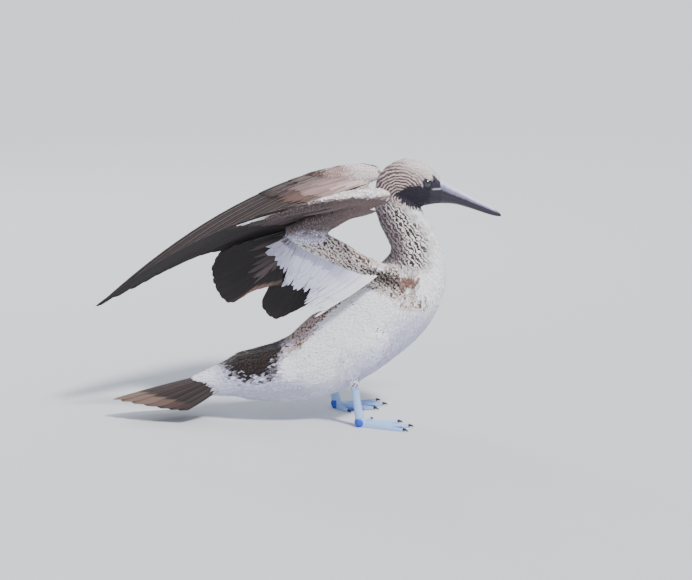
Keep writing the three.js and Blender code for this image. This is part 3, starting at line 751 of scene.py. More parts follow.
class Tree:
    """Short ways to add shader nodes."""

    def __init__(self, tree):
        self.tree = tree

    def node(self, kind, settings=(), **inputs):
        node = self.tree.nodes.new(kind)
        for key, value in dict(settings).items():
            setattr(node, key, value)
        for key, value in inputs.items():
            self.put(node.inputs[key.replace("_", " ")], value)
        return node

    def put(self, socket, value):
        if isinstance(value, bpy.types.NodeSocket):
            self.tree.links.new(value, socket)
        else:
            socket.default_value = value

    def calc(self, operation, *values):
        node = self.tree.nodes.new("ShaderNodeMath")
        node.operation = operation
        for socket, value in zip(node.inputs, values):
            self.put(socket, value)
        return node.outputs[0]

    def attribute(self, name, output="Color"):
        return self.node("ShaderNodeAttribute", {"attribute_name": name}).outputs[output]

    def split(self, vector):
        return self.node("ShaderNodeSeparateXYZ", Vector=vector).outputs

    def step(self, value, low, high):
        node = self.node("ShaderNodeMapRange", {"interpolation_type": "SMOOTHSTEP"}, Value=value)
        node.inputs["From Min"].default_value = low
        node.inputs["From Max"].default_value = high
        return node.outputs["Result"]

    def mixed(self, share, first, second):
        node = self.node("ShaderNodeMix", {"data_type": "RGBA"})
        for socket, value in zip((node.inputs[0], node.inputs[6], node.inputs[7]), (share, first, second)):
            self.put(socket, (*value, 1) if isinstance(value, (tuple, np.ndarray)) else value)
        return node.outputs[2]

    def spot(self):
        return self.node("ShaderNodeTexCoord").outputs["Object"]

    def noise(self, scale):
        return self.node("ShaderNodeTexNoise", Vector=self.spot(), Scale=scale, Detail=3.0).outputs[0]

    def bump(self, height, strength, distance):
        return self.node(
            "ShaderNodeBump", Height=height, Strength=strength, Distance=distance
        ).outputs["Normal"]


def streaked(tree, colour):
    """Lays the crown's fine pale streaks and the neck's pale flecks over a colour."""
    lines, flecks, _ = tree.split(tree.attribute("Streak", "Vector"))
    spot = tree.spot()
    round_crown = tree.node("ShaderNodeMapping", Vector=spot)
    round_crown.inputs["Location"].default_value = (-CROWN_CENTRE[0] * MM, 0, -CROWN_CENTRE[1] * MM)
    rings = tree.node(
        "ShaderNodeTexWave", {"wave_type": "RINGS", "rings_direction": "Y"},
        Vector=round_crown.outputs[0], Scale=CROWN_SCALE, Distortion=4.0, Detail=2.0, Detail_Scale=1.6,
    )
    line = tree.calc("MULTIPLY", tree.step(rings.outputs["Fac"], 0.5, 0.9), lines)
    colour = tree.mixed(line, colour, STREAK_PALE)
    sloped = tree.node("ShaderNodeMapping", Vector=spot)
    sloped.inputs["Rotation"].default_value = (0, FLECK_SLOPE, 0)
    bands = tree.node(
        "ShaderNodeTexWave", {"bands_direction": "Z"}, Vector=sloped.outputs[0],
        Scale=FLECK_SCALE, Distortion=8.0, Detail=2.0, Detail_Scale=2.6,
    )
    fleck = tree.calc("MULTIPLY", tree.step(bands.outputs["Fac"], 0.4, 0.66), flecks)
    return tree.mixed(fleck, colour, FLECK_PALE)


def feather_material(name, roughness, barb_depth, edge_share):
    """Vanes with fine barbs and a tip colour, and either a shaft with a pale edge or the crown's streaks and
    the neck's flecks.
    """
    material, tree, shader = new_material(name, roughness, Sheen_Weight=0.12, Specular_IOR_Level=0.28)
    across, reach, chance = tree.split(tree.attribute("Vane", "Vector"))
    offside = tree.calc("ABSOLUTE", across)
    fringe = tree.calc("MULTIPLY", offside, 0.06)
    wave = tree.calc("MULTIPLY", tree.calc("SINE", tree.calc("MULTIPLY", across, 37.0)), 0.015)
    tip_at = tree.calc("ADD", tree.calc("ADD", reach, fringe), wave)
    start = tree.attribute("TipStart", "Fac")
    tip = tree.step(tree.calc("SUBTRACT", tip_at, start), 0.0, 0.05)
    colour = tree.mixed(tip, tree.attribute("Tint"), tree.attribute("TipTint"))
    if edge_share:
        rim = tree.calc("MULTIPLY", tree.step(across, 0.74, 0.9), edge_share)
        rim = tree.calc("MULTIPLY", rim, tree.calc("SUBTRACT", 1.0, tree.step(reach, 0.5, 1.0)))
        colour = tree.mixed(rim, colour, tree.attribute("EdgeTint"))
        shaft = tree.calc("SUBTRACT", 1.0, tree.step(offside, 0.02, 0.07))
        shaft = tree.calc("MULTIPLY", shaft, 0.5)
        colour = tree.mixed(shaft, colour, BROWN)
    else:
        colour = streaked(tree, colour)
    slant = tree.calc("ADD", tree.calc("MULTIPLY", reach, 150.0), tree.calc("MULTIPLY", offside, -60.0))
    barbs = tree.calc("SINE", tree.calc("ADD", slant, tree.calc("MULTIPLY", chance, 40.0)))
    shade = tree.calc("ADD", 0.97, tree.calc("MULTIPLY", barbs, 0.035))
    dull = tree.node("ShaderNodeVectorMath", {"operation": "SCALE"})
    tree.put(dull.inputs[0], colour)
    tree.put(dull.inputs["Scale"], shade)
    tree.put(shader.inputs["Base Color"], dull.outputs[0])
    tree.put(shader.inputs["Normal"], tree.bump(barbs, 0.25, barb_depth))
    return material


SOFT_FEATHER = feather_material("soft_feather", 0.85, 0.00008, 0)
STIFF_FEATHER = feather_material("stiff_feather", 0.55, 0.00016, 0.8)


def skin_material():
    """Skin with the plumage's colours under the coat, and bare slate and blue skin."""
    material, tree, shader = new_material("skin", 0.5, Specular_IOR_Level=0.4)
    tree.put(shader.inputs["Base Color"], streaked(tree, tree.attribute("Tint")))
    cells = tree.node(
        "ShaderNodeTexVoronoi", {"feature": "DISTANCE_TO_EDGE"}, Vector=tree.spot(), Scale=700.0
    )
    scales = tree.step(cells.outputs["Distance"], 0.02, 0.2)
    tree.put(shader.inputs["Normal"], tree.bump(scales, 0.5, 0.00025))
    return material


def colour_layer(mesh, name, colours):
    """Writes one colour a vertex as a named attribute."""
    layer = mesh.attributes.new(name, "FLOAT_COLOR", "POINT")
    full = np.ones((len(colours), 4), np.float32)
    full[:, :3] = colours
    layer.data.foreach_set("color", full.ravel())


def vector_layer(mesh, name, vectors):
    layer = mesh.attributes.new(name, "FLOAT_VECTOR", "POINT")
    layer.data.foreach_set("vector", np.asarray(vectors, np.float32).ravel())


def number_layer(mesh, name, numbers):
    layer = mesh.attributes.new(name, "FLOAT", "POINT")
    layer.data.foreach_set("value", np.asarray(numbers, np.float32))


# Where the bare leg stands, how far its skin reaches round that, and how high the toes reach
LEG_X = 79
LEG_Y = 51
LEG_REACH = 13
TOES_TOP = 22


def leg_share(p):
    """How far a place, in millimetres, belongs to the bare leg or foot."""
    axis = np.where(p[:, 1] < 0, LEG_X, LEG_X - leg_back(LEFT))
    apart = (np.hypot(p[:, 0] - axis, np.abs(p[:, 1]) - LEG_Y) < LEG_REACH) | (p[:, 2] < TOES_TOP)
    return (1 - smoothstep(61, 66, p[:, 2])) * (apart & (p[:, 0] > 5))


def tint_skin(mesh):
    """Gives the skin the plumage's mean colours, and its own where it is bare."""
    count = len(mesh.vertices)
    p = vectors_of(mesh.vertices) / MM
    out = vectors_of(mesh.vertex_normals, "vector")
    base, tip, share, streaks = plumage(p, out, *flow_at(p)[1:], np.zeros(count))
    colours = mix(base, tip, share[:, None])
    bare = bareness(p) * (p[:, 2] > FACE_LOW)
    eyes = eye_distance(p)
    face = mix(np.tile(SLATE, (count, 1)), LORE, (1 - smoothstep(9, 14, eyes))[:, None] * 0.8)
    colours = colours + (face - colours) * bare[:, None]
    gape = np.exp(-(((p[:, 2] - 328.4) / 0.9) ** 2)) * smoothstep(183, 185, p[:, 0]) * bare
    # Painted highlight: a small pale spot behind and below the eye, in the gape's pale colour
    corner = np.exp(-(((p[:, 0] - 171.5) / 1.3) ** 2) - ((p[:, 2] - 333.8) / 1.8) ** 2)
    pale = np.clip(gape * 0.8 + corner * (eyes < 12), 0, 1)[:, None]
    colours = colours + (tone(0.78, 0.76, 0.80) - colours) * pale
    leg = leg_share(p)
    webbed = smoothstep(0.35, 0.7, web_share(p))
    # Painted sunlight and shade on the blue skin: pale on the toes and tarsus, deeper between the toes
    blue = mix(np.tile(SUNLIT_LEG_BLUE, (count, 1)), SHADED_WEB_BLUE, webbed[:, None])
    colours = colours + (blue - colours) * leg[:, None]
    colour_layer(mesh, "Tint", colours)
    vector_layer(mesh, "Streak", streaks * ((1 - bare) * (1 - leg))[:, None])


def web_share(p):
    """How much a place of a foot, in millimetres, lies between the toes."""
    share = np.ones(len(p))
    for side in (RIGHT, LEFT):
        mine = p[:, 1] * side > 0
        rel = from_toe_base(p, side)
        for angle, length, wide in TOES.values():
            ahead = toe_ahead(angle, side)
            s = np.clip(rel @ ahead, 0, length)
            off = np.linalg.norm(rel - s[:, None] * ahead, axis=1)
            share = np.where(mine, np.minimum(share, smoothstep(wide * 0.7, wide * 1.5, off)), share)
    return share * (p[:, 2] < 12)


smooth(skin_mesh)
skin_mesh.materials.clear()
skin_mesh.materials.append(skin_material())
tint_skin(skin_mesh)
skin_piece = new_piece("skin", skin_mesh)
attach(skin_piece, "root")
flesh = ["trunk", "neck", "head", "tail"]
for word in WORDS.values():
    flesh += [f"{part}_{word}" for part in ("upper_arm", "forearm", "hand", "shank", "tarsus", "foot")]
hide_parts(*flesh)


# The coat: soft vanes over the skin

ROWS = 5
COAT_WIDTHS = np.array((0.5, 0.92, 1.0, 0.82, 0.3))
FEATHER_THICK = 0.26
# How far the vanes are shaded like the body under them
SOFT_SHADING = 0.72
# Length, width, gap between roots and lift of the tip, along the body and on the limbs
COAT_RUNS = (0, 14, 40, 80, 120, 200, 260, 520)
COAT_SIZES = np.array((
    (2.8, 1.8, 1.3, 0.3), (4.4, 2.2, 1.7, 0.5), (6.0, 3.0, 2.2, 0.7), (7.0, 3.8, 2.8, 0.9),
    (8.0, 4.4, 3.2, 1.0), (11.0, 4.6, 2.9, 1.2), (13.0, 4.8, 2.7, 1.4), (13.0, 4.8, 2.8, 1.4),
))
LIMB_SIZES = {
    1: (11.0, 5.2, 3.4, 1.0), 2: (10.0, 4.4, 2.8, 0.7), 3: (10.0, 4.0, 2.6, 0.6), 0: (12.5, 4.6, 2.7, 1.1),
}
SAMPLES_PER_FEATHER = 7
# Where the coat's pieces end along the spine
HEAD_COAT_END = 84
NECK_COAT_END = 205
BREAST_COAT_END = 305
# On the bake map: how far a limb's part lies from the next, a vane's size, half its thickness
MAP_LIMB_STEP = 95
MAP_VANE = (0.0014, 0.003)
MAP_HALF_THICK = 0.0004


def feather_sizes(chain, run):
    sizes = np.stack([np.interp(run, COAT_RUNS, COAT_SIZES[:, k]) for k in range(4)], axis=1)
    for limb, size in LIMB_SIZES.items():
        sizes[(chain > 0) & (chain % 4 == limb)] = size
    return sizes


def skin_samples(mesh):
    """Places all over the skin, denser where feathers are smaller."""
    mesh.calc_loop_triangles()
    count = len(mesh.loop_triangles)
    corners = np.empty(count * 3, np.int32)
    mesh.loop_triangles.foreach_get("vertices", corners)
    tri = (vectors_of(mesh.vertices) / MM)[corners.reshape(-1, 3)]
    middle = tri.mean(1)
    area = np.linalg.norm(np.cross(tri[:, 1] - tri[:, 0], tri[:, 2] - tri[:, 0]), axis=1) / 2
    chain, run = flow_at(middle)[1:]
    gap = feather_sizes(chain, run)[:, 2]
    many = area / gap**2 * SAMPLES_PER_FEATHER
    copies = np.floor(many + draw.random(count)).astype(int)
    tri = np.repeat(tri, copies, axis=0)
    u, v = draw.random((2, len(tri)))
    fold = u + v > 1
    u[fold], v[fold] = 1 - u[fold], 1 - v[fold]
    return tri[:, 0] + u[:, None] * (tri[:, 1] - tri[:, 0]) + v[:, None] * (tri[:, 2] - tri[:, 0])


def spread(p, gap, order):
    """Picks places in order, none closer to another one than its gap."""
    cell = float(gap.max())
    keys = np.floor(p / cell).astype(int)
    taken = {}
    chosen = []
    near = [(a, b, c) for a in (-1, 0, 1) for b in (-1, 0, 1) for c in (-1, 0, 1)]
    spots, boxes, gaps = p.tolist(), keys.tolist(), (gap**2).tolist()
    for i in order.tolist():
        x, y, z = spots[i]
        kx, ky, kz = boxes[i]
        clear = gaps[i]
        free = True
        for a, b, c in near:
            for qx, qy, qz in taken.get((kx + a, ky + b, kz + c), ()):
                if (x - qx) ** 2 + (y - qy) ** 2 + (z - qz) ** 2 < clear:
                    free = False
                    break
            if not free:
                break
        if free:
            taken.setdefault((kx, ky, kz), []).append((x, y, z))
            chosen.append(i)
    return np.array(chosen)


def on_skin(p):
    """The nearest places of the skin in millimetres, with its outward directions there."""
    spots, normals = np.empty_like(p), np.empty_like(p)
    for i, q in enumerate((p * MM).tolist()):
        spot, normal = skin_tree.find_nearest(q)[:2]
        spots[i], normals[i] = spot, normal
    return spots / MM, normals


def grow_coat():
    """Roots, spines, widths and colours of all the soft vanes."""
    p = skin_samples(skin_mesh)
    bare = np.where(p[:, 2] > FACE_LOW, bareness(p), 0)
    p = p[(bare < 0.5) & (leg_share(p) <= 0.1)]
    lie, chain, run = flow_at(p)
    sizes = feather_sizes(chain, run)
    chosen = spread(p, sizes[:, 2], np.argsort(run + draw.random(len(p)) * 0.1))
    p, lie, chain, run, sizes = (a[chosen] for a in (p, lie, chain, run, sizes))
    loose = draw.normal(0, 0.5, len(p)).clip(-1, 1)
    sizes = sizes * (1 + 0.1 * draw.standard_normal((len(p), 1)).clip(-2, 2))
    spot, normal = on_skin(p)
    base, tip, share, streaks = plumage(p, normal, chain, run, loose)
    yaw = np.radians(5) * draw.standard_normal(len(p)).clip(-2, 2)
    way = unit(lie - normal * (lie * normal).sum(1)[:, None])
    way = way * np.cos(yaw)[:, None] + np.cross(normal, way) * np.sin(yaw)[:, None]
    spines, normals, ways = [spot], [normal], [way]
    for _ in range(ROWS - 1):
        spot, normal = on_skin(spot + way * sizes[:, :1] / (ROWS - 1))
        way = unit(way - normal * (way * normal).sum(1)[:, None])
        spines.append(spot)
        normals.append(normal)
        ways.append(way)
    spine, normal, way = (np.stack(a, axis=1) for a in (spines, normals, ways))
    return {
        "spine": spine, "normal": normal, "way": way, "sizes": sizes, "chain": chain, "run": run,
        "base": base, "tip": tip, "share": share, "streaks": streaks, "root": p,
    }


def chain_angle(p, chain, run):
    """How far round its limb a root lies, as a share of a turn."""
    turn = np.zeros(len(p))
    for row in FLOWS:
        a, b = row[:3], row[3:6]
        length = np.linalg.norm(b - a)
        mine = (chain == row[14]) & (run >= row[15] - 1e-6) & (run <= row[15] + length + 1e-6)
        ahead = (b - a) / length
        sideways = unit(np.cross(ahead, (0.2, 0.0, 1.0) if abs(ahead[2]) < 0.8 else (1.0, 0.0, 0.0)))
        rise = np.cross(sideways, ahead)
        off = p[mine] - a
        turn[mine] = np.arctan2(off @ sideways, off @ rise) / (2 * math.pi) + 0.5
    return turn


def coat_piece(name, coat):
    """One piece of the coat from its vanes."""
    spine, normal, way, sizes = (coat[key] for key in ("spine", "normal", "way", "sizes"))
    n = len(spine)
    reach = np.linspace(0, 1, ROWS)
    across = np.cross(normal, way)
    lift = sizes[:, 3:4] * reach**1.3 - 0.25 * (1 - reach)
    centre = spine + normal * lift[..., None]
    half = (sizes[:, 1:2] / 2 * COAT_WIDTHS)[..., None] * across
    droop = normal * (0.035 * sizes[:, 1:2] * COAT_WIDTHS)[..., None]
    thick = normal * (FEATHER_THICK / 2 * np.linspace(1, 0.6, ROWS))[:, None]
    points = np.stack([centre - half - droop, centre + thick, centre + half - droop, centre - thick], axis=2)
    faces = [(4 * r + k, 4 * r + (k + 1) % 4, 4 * r + 4 + (k + 1) % 4, 4 * r + 4 + k)
             for r in range(ROWS - 1) for k in range(4)]
    last = 4 * (ROWS - 1)
    faces += [(3, 2, 1, 0), (last, last + 1, last + 2, last + 3)]
    mesh = array_mesh(name, points.reshape(n, -1, 3) * MM, faces)
    per = 4 * ROWS
    vane = np.zeros((n, ROWS, 4, 3), np.float32)
    vane[:, :, 0, 0], vane[:, :, 2, 0] = -1, 1
    vane[..., 1] = reach[:, None]
    vane[..., 2] = draw.random(n)[:, None, None]
    dress(mesh, vane.reshape(-1, 3), coat["base"], coat["tip"], 1 - coat["share"], per)
    vector_layer(mesh, "Streak", np.repeat(coat["streaks"], per, axis=0))
    own = vectors_of(mesh.vertex_normals, "vector").reshape(n, ROWS, 4, 3)
    soft = unit(mix(own, normal[:, :, None], SOFT_SHADING))
    soft[:, :, 3] = own[:, :, 3]
    mesh.normals_split_custom_set_from_vertices(soft.reshape(-1, 3))
    chain, run = coat["chain"], coat["run"]
    apart = np.where(chain == 0, run, run + MAP_LIMB_STEP * ((chain - 1) % 4))
    home = np.stack([chain_angle(coat["root"], chain, run), apart], axis=1)
    home = 0.02 + 0.96 * (home - home.min(0)) / (home.max(0) - home.min(0))
    flat = vane[..., :2] * MAP_VANE + home[:, None, None, :]
    flat[:, :, 1, 0] += MAP_HALF_THICK
    flat[:, :, 3, 0] -= MAP_HALF_THICK
    write_map(mesh, flat.reshape(-1, 2))
    mesh.materials.append(SOFT_FEATHER)
    shown(name, mesh)


def array_mesh(name, points, faces):
    """Many like closed bodies as one mesh, each with its faces outwards."""
    count, per = points.shape[:2]
    mesh = bpy.data.meshes.new(name)
    faces = np.array(faces)
    rel = points - points.mean(axis=1, keepdims=True)
    a, b, c, d = (rel[:, faces[:, k]] for k in range(4))
    volume = (a * (np.cross(b, c) + np.cross(c, d))).sum(axis=(1, 2))
    quads = faces[None] + (np.arange(count) * per)[:, None, None]
    quads[volume < 0] = quads[volume < 0][..., ::-1]
    quads = quads.reshape(-1, 4)
    mesh.vertices.add(count * per)
    mesh.vertices.foreach_set("co", points.astype(np.float32).ravel())
    mesh.loops.add(quads.size)
    mesh.loops.foreach_set("vertex_index", quads.ravel().astype(np.int32))
    mesh.polygons.add(len(quads))
    mesh.polygons.foreach_set("loop_start", np.arange(0, quads.size, 4, dtype=np.int32))
    mesh.update(calc_edges=True)
    mesh.validate()
    smooth(mesh)
    return mesh


def dress(mesh, vane, base, tip, start, per, edge=None):
    """Writes the attributes that the feather materials read."""
    vector_layer(mesh, "Vane", vane)
    colour_layer(mesh, "Tint", np.repeat(base, per, axis=0))
    colour_layer(mesh, "TipTint", np.repeat(tip, per, axis=0))
    if edge is not None:
        colour_layer(mesh, "EdgeTint", np.repeat(edge, per, axis=0))
    number_layer(mesh, "TipStart", np.repeat(start, per))


def write_map(mesh, spots):
    """A map named OFBake with one place a vertex."""
    layer = mesh.uv_layers.new(name="OFBake")
    corner = np.empty(len(mesh.loops), np.int32)
    mesh.loops.foreach_get("vertex_index", corner)
    layer.uv.foreach_set("vector", spots[corner].astype(np.float32).ravel())


def shown(name, mesh, nodes=()):
    piece = new_piece(name, mesh)
    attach(piece, "root")
    if nodes:
        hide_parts(*nodes)


coat = grow_coat()
on_spine = coat["chain"] == 0
coat_parts = []
low = -math.inf
for name, high, slot in (
    ("head_feathers", HEAD_COAT_END, "head_plumage"), ("neck_feathers", NECK_COAT_END, "mottled_plumage"),
    ("breast_feathers", BREAST_COAT_END, "white_plumage"), ("rump_feathers", math.inf, "white_plumage"),
):
    coat_parts.append((name, on_spine & (coat["run"] >= low) & (coat["run"] < high), slot))
    low = high
for side, word in WORDS.items():
    first = 1 if side == RIGHT else 5
    on_arm = (coat["chain"] >= first) & (coat["chain"] < first + 3)
    coat_parts.append((f"arm_feathers_{word}", on_arm, "mottled_plumage"))
    coat_parts.append((f"thigh_feathers_{word}", coat["chain"] == first + 3, "white_plumage"))
for name, mine, slot in coat_parts:
    coat_piece(name, {key: values[mine] for key, values in coat.items()})


# Flight feathers and their coverts: stiff vanes laid along the fans

def fan_vanes(fan, side, row, seed):
    """Closed thin vanes of one row on a fan, with their marks for the material."""
    n, rows, cols = row["count"], row["rows"], row["cols"]
    chance = np.random.default_rng(seed).standard_normal((n, 4)).clip(-2, 2)
    lowest, highest = row["span"]
    centre = lowest + (highest - lowest) * (np.arange(n) + 0.5) / n
    step = (highest - lowest) / n
    s = 1 - (1 - np.linspace(0, 1, rows)) ** 1.5
    q = np.linspace(-1, 1, cols)
    down = s[:, None]
    start, end = row["reach"]
    tip_from = row["tip_from"]
    round_off = np.sqrt(np.clip(1 - (np.clip(s - tip_from, 0, 1) / (1.002 - tip_from)) ** 2.2, 0.004, 1))
    wide = ((0.45 + 0.55 * np.sqrt(np.clip(s / 0.35, 0, 1))) * round_off)[:, None]
    outer, inner = row["overlap"]
    spread_t = np.where(q > 0, outer * q, inner * q) * step * wide
    t = centre[:, None, None] + spread_t + row["sway"] * step * chance[:, :1, None]
    t = np.clip(t, 0, 1)
    ends = end * np.interp(centre, [0, 0.3, 1], row["taper"]) + row["ragged"] * chance[:, 1]
    r = start + (ends - start)[:, None, None] * down
    r = np.clip(r, -0.2, 1) + 0 * t
    small = 2e-3
    here = fan_surface(fan, side, t, r)
    after, before = (fan_surface(fan, side, np.clip(t + d, 0, 1), r) for d in (small, -small))
    along_r = fan_surface(fan, side, t, r + small) - fan_surface(fan, side, t, r - small)
    up = unit(np.cross(after - before, along_r))
    top = np.array((0, 0, 1.0)) if fan is TAIL_FAN else np.array((0, -side, 0.6))
    up = up * np.sign(up @ top)[..., None]
    layer = row["lift"] * (1 + 0.25 * chance[:, 2])[:, None, None] * np.minimum(down * 3, 1)
    tilt = row["tilt"] * q * np.minimum(down * 4, 1)
    camber = -row["camber"] * q**2 * wide
    height = (layer + tilt + camber + 0 * t) * MM
    half = row["thick"] / 2 * MM * (1 - 0.55 * q**2)[:, None]
    middle = here + up * height[..., None]
    points = np.stack([middle + up * half, middle - up * half], axis=1)
    return points.reshape(n, 2 * rows * cols, 3), (s, q, centre, chance)


def sheet_faces(rows, cols):
    """Faces of a closed thin sheet: an upper grid, a lower grid and the rim."""
    def at(layer, i, j):
        return layer * rows * cols + i * cols + j

    faces = []
    for i in range(rows - 1):
        for j in range(cols - 1):
            faces.append((at(0, i, j), at(0, i, j + 1), at(0, i + 1, j + 1), at(0, i + 1, j)))
            faces.append((at(1, i, j), at(1, i + 1, j), at(1, i + 1, j + 1), at(1, i, j + 1)))
    rim = [(0, j) for j in range(cols)] + [(i, cols - 1) for i in range(1, rows)]
    rim += [(rows - 1, j) for j in range(cols - 2, -1, -1)] + [(i, 0) for i in range(rows - 2, 0, -1)]
    for a, b in zip(rim, rim[1:] + rim[:1]):
        faces.append((at(0, *b), at(0, *a), at(1, *a), at(1, *b)))
    return faces


def feather_group(name, fan, side, rows, node):
    """All rows of vanes on one fan as one piece."""
    cells = sum(row["count"] for row in rows)
    tall = math.ceil(math.sqrt(cells / 3))
    wide = math.ceil(cells / tall)
    size = np.array((0.46 / wide, 0.92 / tall))
    so_far = 0
    bm = bmesh.new()
    for number, row in enumerate(rows):
        points, (s, q, t, chance) = fan_vanes(fan, side, row, 7 * number + len(name))
        n, r, c = row["count"], row["rows"], row["cols"]
        mesh = array_mesh("row", points, sheet_faces(r, c))
        vane = np.zeros((n, 2, r, c, 3), np.float32)
        vane[..., 0] = q
        vane[..., 1] = s[:, None]
        vane[..., 2] = draw.random(n)[:, None, None, None]
        base, tip, edge, start = row["colours"](t, chance[:, 3])
        dress(mesh, vane.reshape(-1, 3), base, tip, start, 2 * r * c, edge)
        index = so_far + np.arange(n)
        so_far += n
        corner = np.stack([index % wide / wide, index // wide / tall], axis=1)
        place_in = np.stack(np.broadcast_arrays((q + 1) / 2, s[:, None]), axis=-1)
        upper = corner[:, None, None] + 0.01 / wide + place_in * size
        write_map(mesh, np.stack([upper, upper + (0.5 / wide, 0.0)], axis=1).reshape(-1, 2))
        add_mesh(bm, mesh)
    whole = bpy.data.meshes.new(name)
    bm.to_mesh(whole)
    bm.free()
    whole.materials.append(STIFF_FEATHER)
    whole.set_sharp_from_angle(angle=math.radians(60))
    shown(name, whole, (node,))


def colours_of(stops, tips=None, edge=BROWN, tip_from=0.94, vary=0.12):
    """A colouring of a row: colours over the fan, with those of the tips and the outer edges."""
    def over_fan(t, colours):
        at = np.linspace(0, 1, len(colours))
        return np.stack([np.interp(t, at, [c[k] for c in colours]) for k in range(3)], axis=1)

    def colouring(t, chance):
        base = (over_fan(t, stops) * (1 + vary * chance)[:, None]).clip(0, 1)
        ends = base if tips is None else over_fan(t, tips)
        return base, ends, np.tile(edge, (len(t), 1)), np.full(len(t), tip_from)

    return colouring


quill = colours_of([BLACK_BROWN, BLACK_BROWN], edge=GREY_BROWN)
quill_lobe = colours_of(
    [BLACK_BROWN, BLACK_BROWN], tips=[BLACK_BROWN, TAIL_TAN, RUFOUS] + [BLACK_BROWN] * 6, edge=DUSK,
    tip_from=0.93,
)
quill_tail = colours_of(
    [DARK_BROWN, BLACK_BROWN, BLACK_BROWN], tips=[TAIL_TAN, TAIL_TAN, DARK_BROWN, BLACK_BROWN], edge=DUSK,
    tip_from=0.74,
)
upper_pale = colours_of([PALE_PINK, TAN, GREY_BROWN, DARK_BROWN], edge=PALE_PINK, tip_from=0.88)
upper_tan = colours_of([TAN, TAN, GREY_BROWN, BLACK_BROWN], edge=PINK_TAN, tip_from=0.88)
upper_brown = colours_of([GREY_BROWN, BROWN, DARK_BROWN, BLACK_BROWN], edge=PINK_TAN, tip_from=0.92)
# Underside coverts: the wing's brown, darkened partly as painted shade
lower_dusk = colours_of([GREY_BROWN, DUSK, DARK_BROWN], edge=DUSK, vary=0.2)
lower_brown = colours_of([GREY_BROWN, GREY_BROWN, DUSK], edge=GREY_BROWN, vary=0.15)
# Pale leading-edge coverts, whitened partly as painted sunlight
edge_pale_sunlit = colours_of([PALE_PINK, PALE_PINK], tips=[WHITE, WHITE], edge=WHITE, vary=0.1, tip_from=0.8)
# Soft underwing vanes: white turning lavender, grey and dusky along the fan as painted shade under the raised
# wing
under_soft_shaded = colours_of(
    [WHITE, SHADED_WHITE, SHADE_LAVENDER, SHADE_LAVENDER, SHADE_GREY, DUSK],
    tips=[WHITE, SHADED_WHITE, SHADED_WHITE, SHADE_GREY], edge=SHADED_WHITE, vary=0.05, tip_from=0.5,
)
# Soft tail coverts: white turning lavender and grey towards the tips as painted shade
tail_soft_shaded = colours_of([WHITE, SHADED_WHITE], tips=[SHADED_WHITE, SHADE_GREY], edge=SHADED_WHITE, vary=0.06, tip_from=0.6)


# What a row of vanes has where nothing else is said. Shares run along the fan or across a feather,
# and lift, tilt, camber and thickness are in millimetres.
PLAIN_ROW = {
    "cols": 7, "reach": (0, 1), "span": (0.0, 1.0), "overlap": (0.55, 1.25), "sway": 0.05, "ragged": 0.015,
    "taper": (1, 1, 1), "lift": 0.0, "tilt": 0.8, "camber": 0.5, "thick": 0.5,
}


def quills(count, rows, tip_from, overlap, ragged, colours, **more):
    """A row of flight feathers, as long as their fan."""
    return {**PLAIN_ROW, "count": count, "rows": rows, "tip_from": tip_from, "overlap": overlap,
            "ragged": ragged, "colours": colours, **more}


def coverts(count, end, lift, colours, start=-0.04, **more):
    return {**PLAIN_ROW, "count": count, "reach": (start, end), "lift": lift, "colours": colours, "rows": 7,
            "cols": 5, "tip_from": 0.55, "tilt": 0.3, "thick": 0.4, "camber": 0.35, "sway": 0.2, **more}


def soft_rows(counts, ends, lifts, colours, ragged=0.06):
    """Rows of downy vanes with uneven ends."""
    return [
        coverts(n, end, lift, colours, -0.14, ragged=ragged, sway=0.5, tip_from=0.35, thick=0.3, tilt=0.15)
        for n, end, lift in zip(counts, ends, lifts)
    ]


ROWS_OF = {
    "primaries": [
        quills(10, 18, 0.72, (0.6, 1.5), 0.004, quill, span=(0.0, 1.04)),
        coverts(16, 0.40, 1.7, upper_brown, taper=(1, 1, 0.5)),
        coverts(18, 0.30, 2.5, upper_tan, taper=(1, 1, 0.3)),
        coverts(20, 0.19, 3.1, upper_pale, taper=(1, 1, 0.3)),
        coverts(16, 0.38, -1.6, lower_dusk), coverts(20, 0.26, -2.4, lower_dusk),
        coverts(24, 0.15, -3.0, lower_brown),
        coverts(12, 0.26, -2.8, edge_pale_sunlit, span=(0.93, 1.0), ragged=0.04),
    ],
    "secondaries": [
        quills(18, 14, 0.9, (0.9, 1.5), 0.006, quill_lobe),
        coverts(26, 0.58, 1.5, upper_brown), coverts(28, 0.4, 2.3, upper_tan),
        coverts(30, 0.22, 2.9, upper_tan),
        coverts(26, 0.66, -1.5, lower_dusk, taper=(0.8, 1, 0.9), ragged=0.05),
        coverts(28, 0.46, -2.3, lower_dusk, ragged=0.04), coverts(30, 0.26, -2.9, lower_brown),
    ],
    "humerals": [
        quills(9, 12, 0.9, (0.9, 1.5), 0.006, quill),
        coverts(14, 0.55, 1.6, upper_brown), coverts(16, 0.35, 2.5, upper_tan),
        *soft_rows((16, 18), (0.5, 0.3), (-1.5, -2.3), under_soft_shaded),
    ],
    "axillars": [
        *soft_rows((30, 32, 34), (0.97, 0.8, 0.6), (0.0, -0.8, -1.5), under_soft_shaded),
        *soft_rows((32, 34), (0.8, 0.55), (0.8, 1.5), under_soft_shaded),
    ],
    "tail_feathers": [
        quills(7, 14, 0.85, (0.8, 1.0), 0.004, quill_tail, span=(-0.05, 1.0)),
        *soft_rows((18, 20), (0.24, 0.13), (1.2, 1.9), tail_soft_shaded, 0.03),
        *soft_rows((18, 20), (0.24, 0.13), (-1.2, -1.9), tail_soft_shaded, 0.03),
    ],
}
FANS = {
    "primaries": PRIMARIES, "secondaries": SECONDARIES, "humerals": HUMERALS, "axillars": AXILLARS,
    "tail_feathers": TAIL_FAN,
}
for side, word in WORDS.items():
    for group, fan in FANS.items():
        slot = "underwing_feather" if group == "axillars" else "flight_feather"
        feather_group(f"{group}_vanes_{word}", fan, side, ROWS_OF[group], f"{group}_{word}")


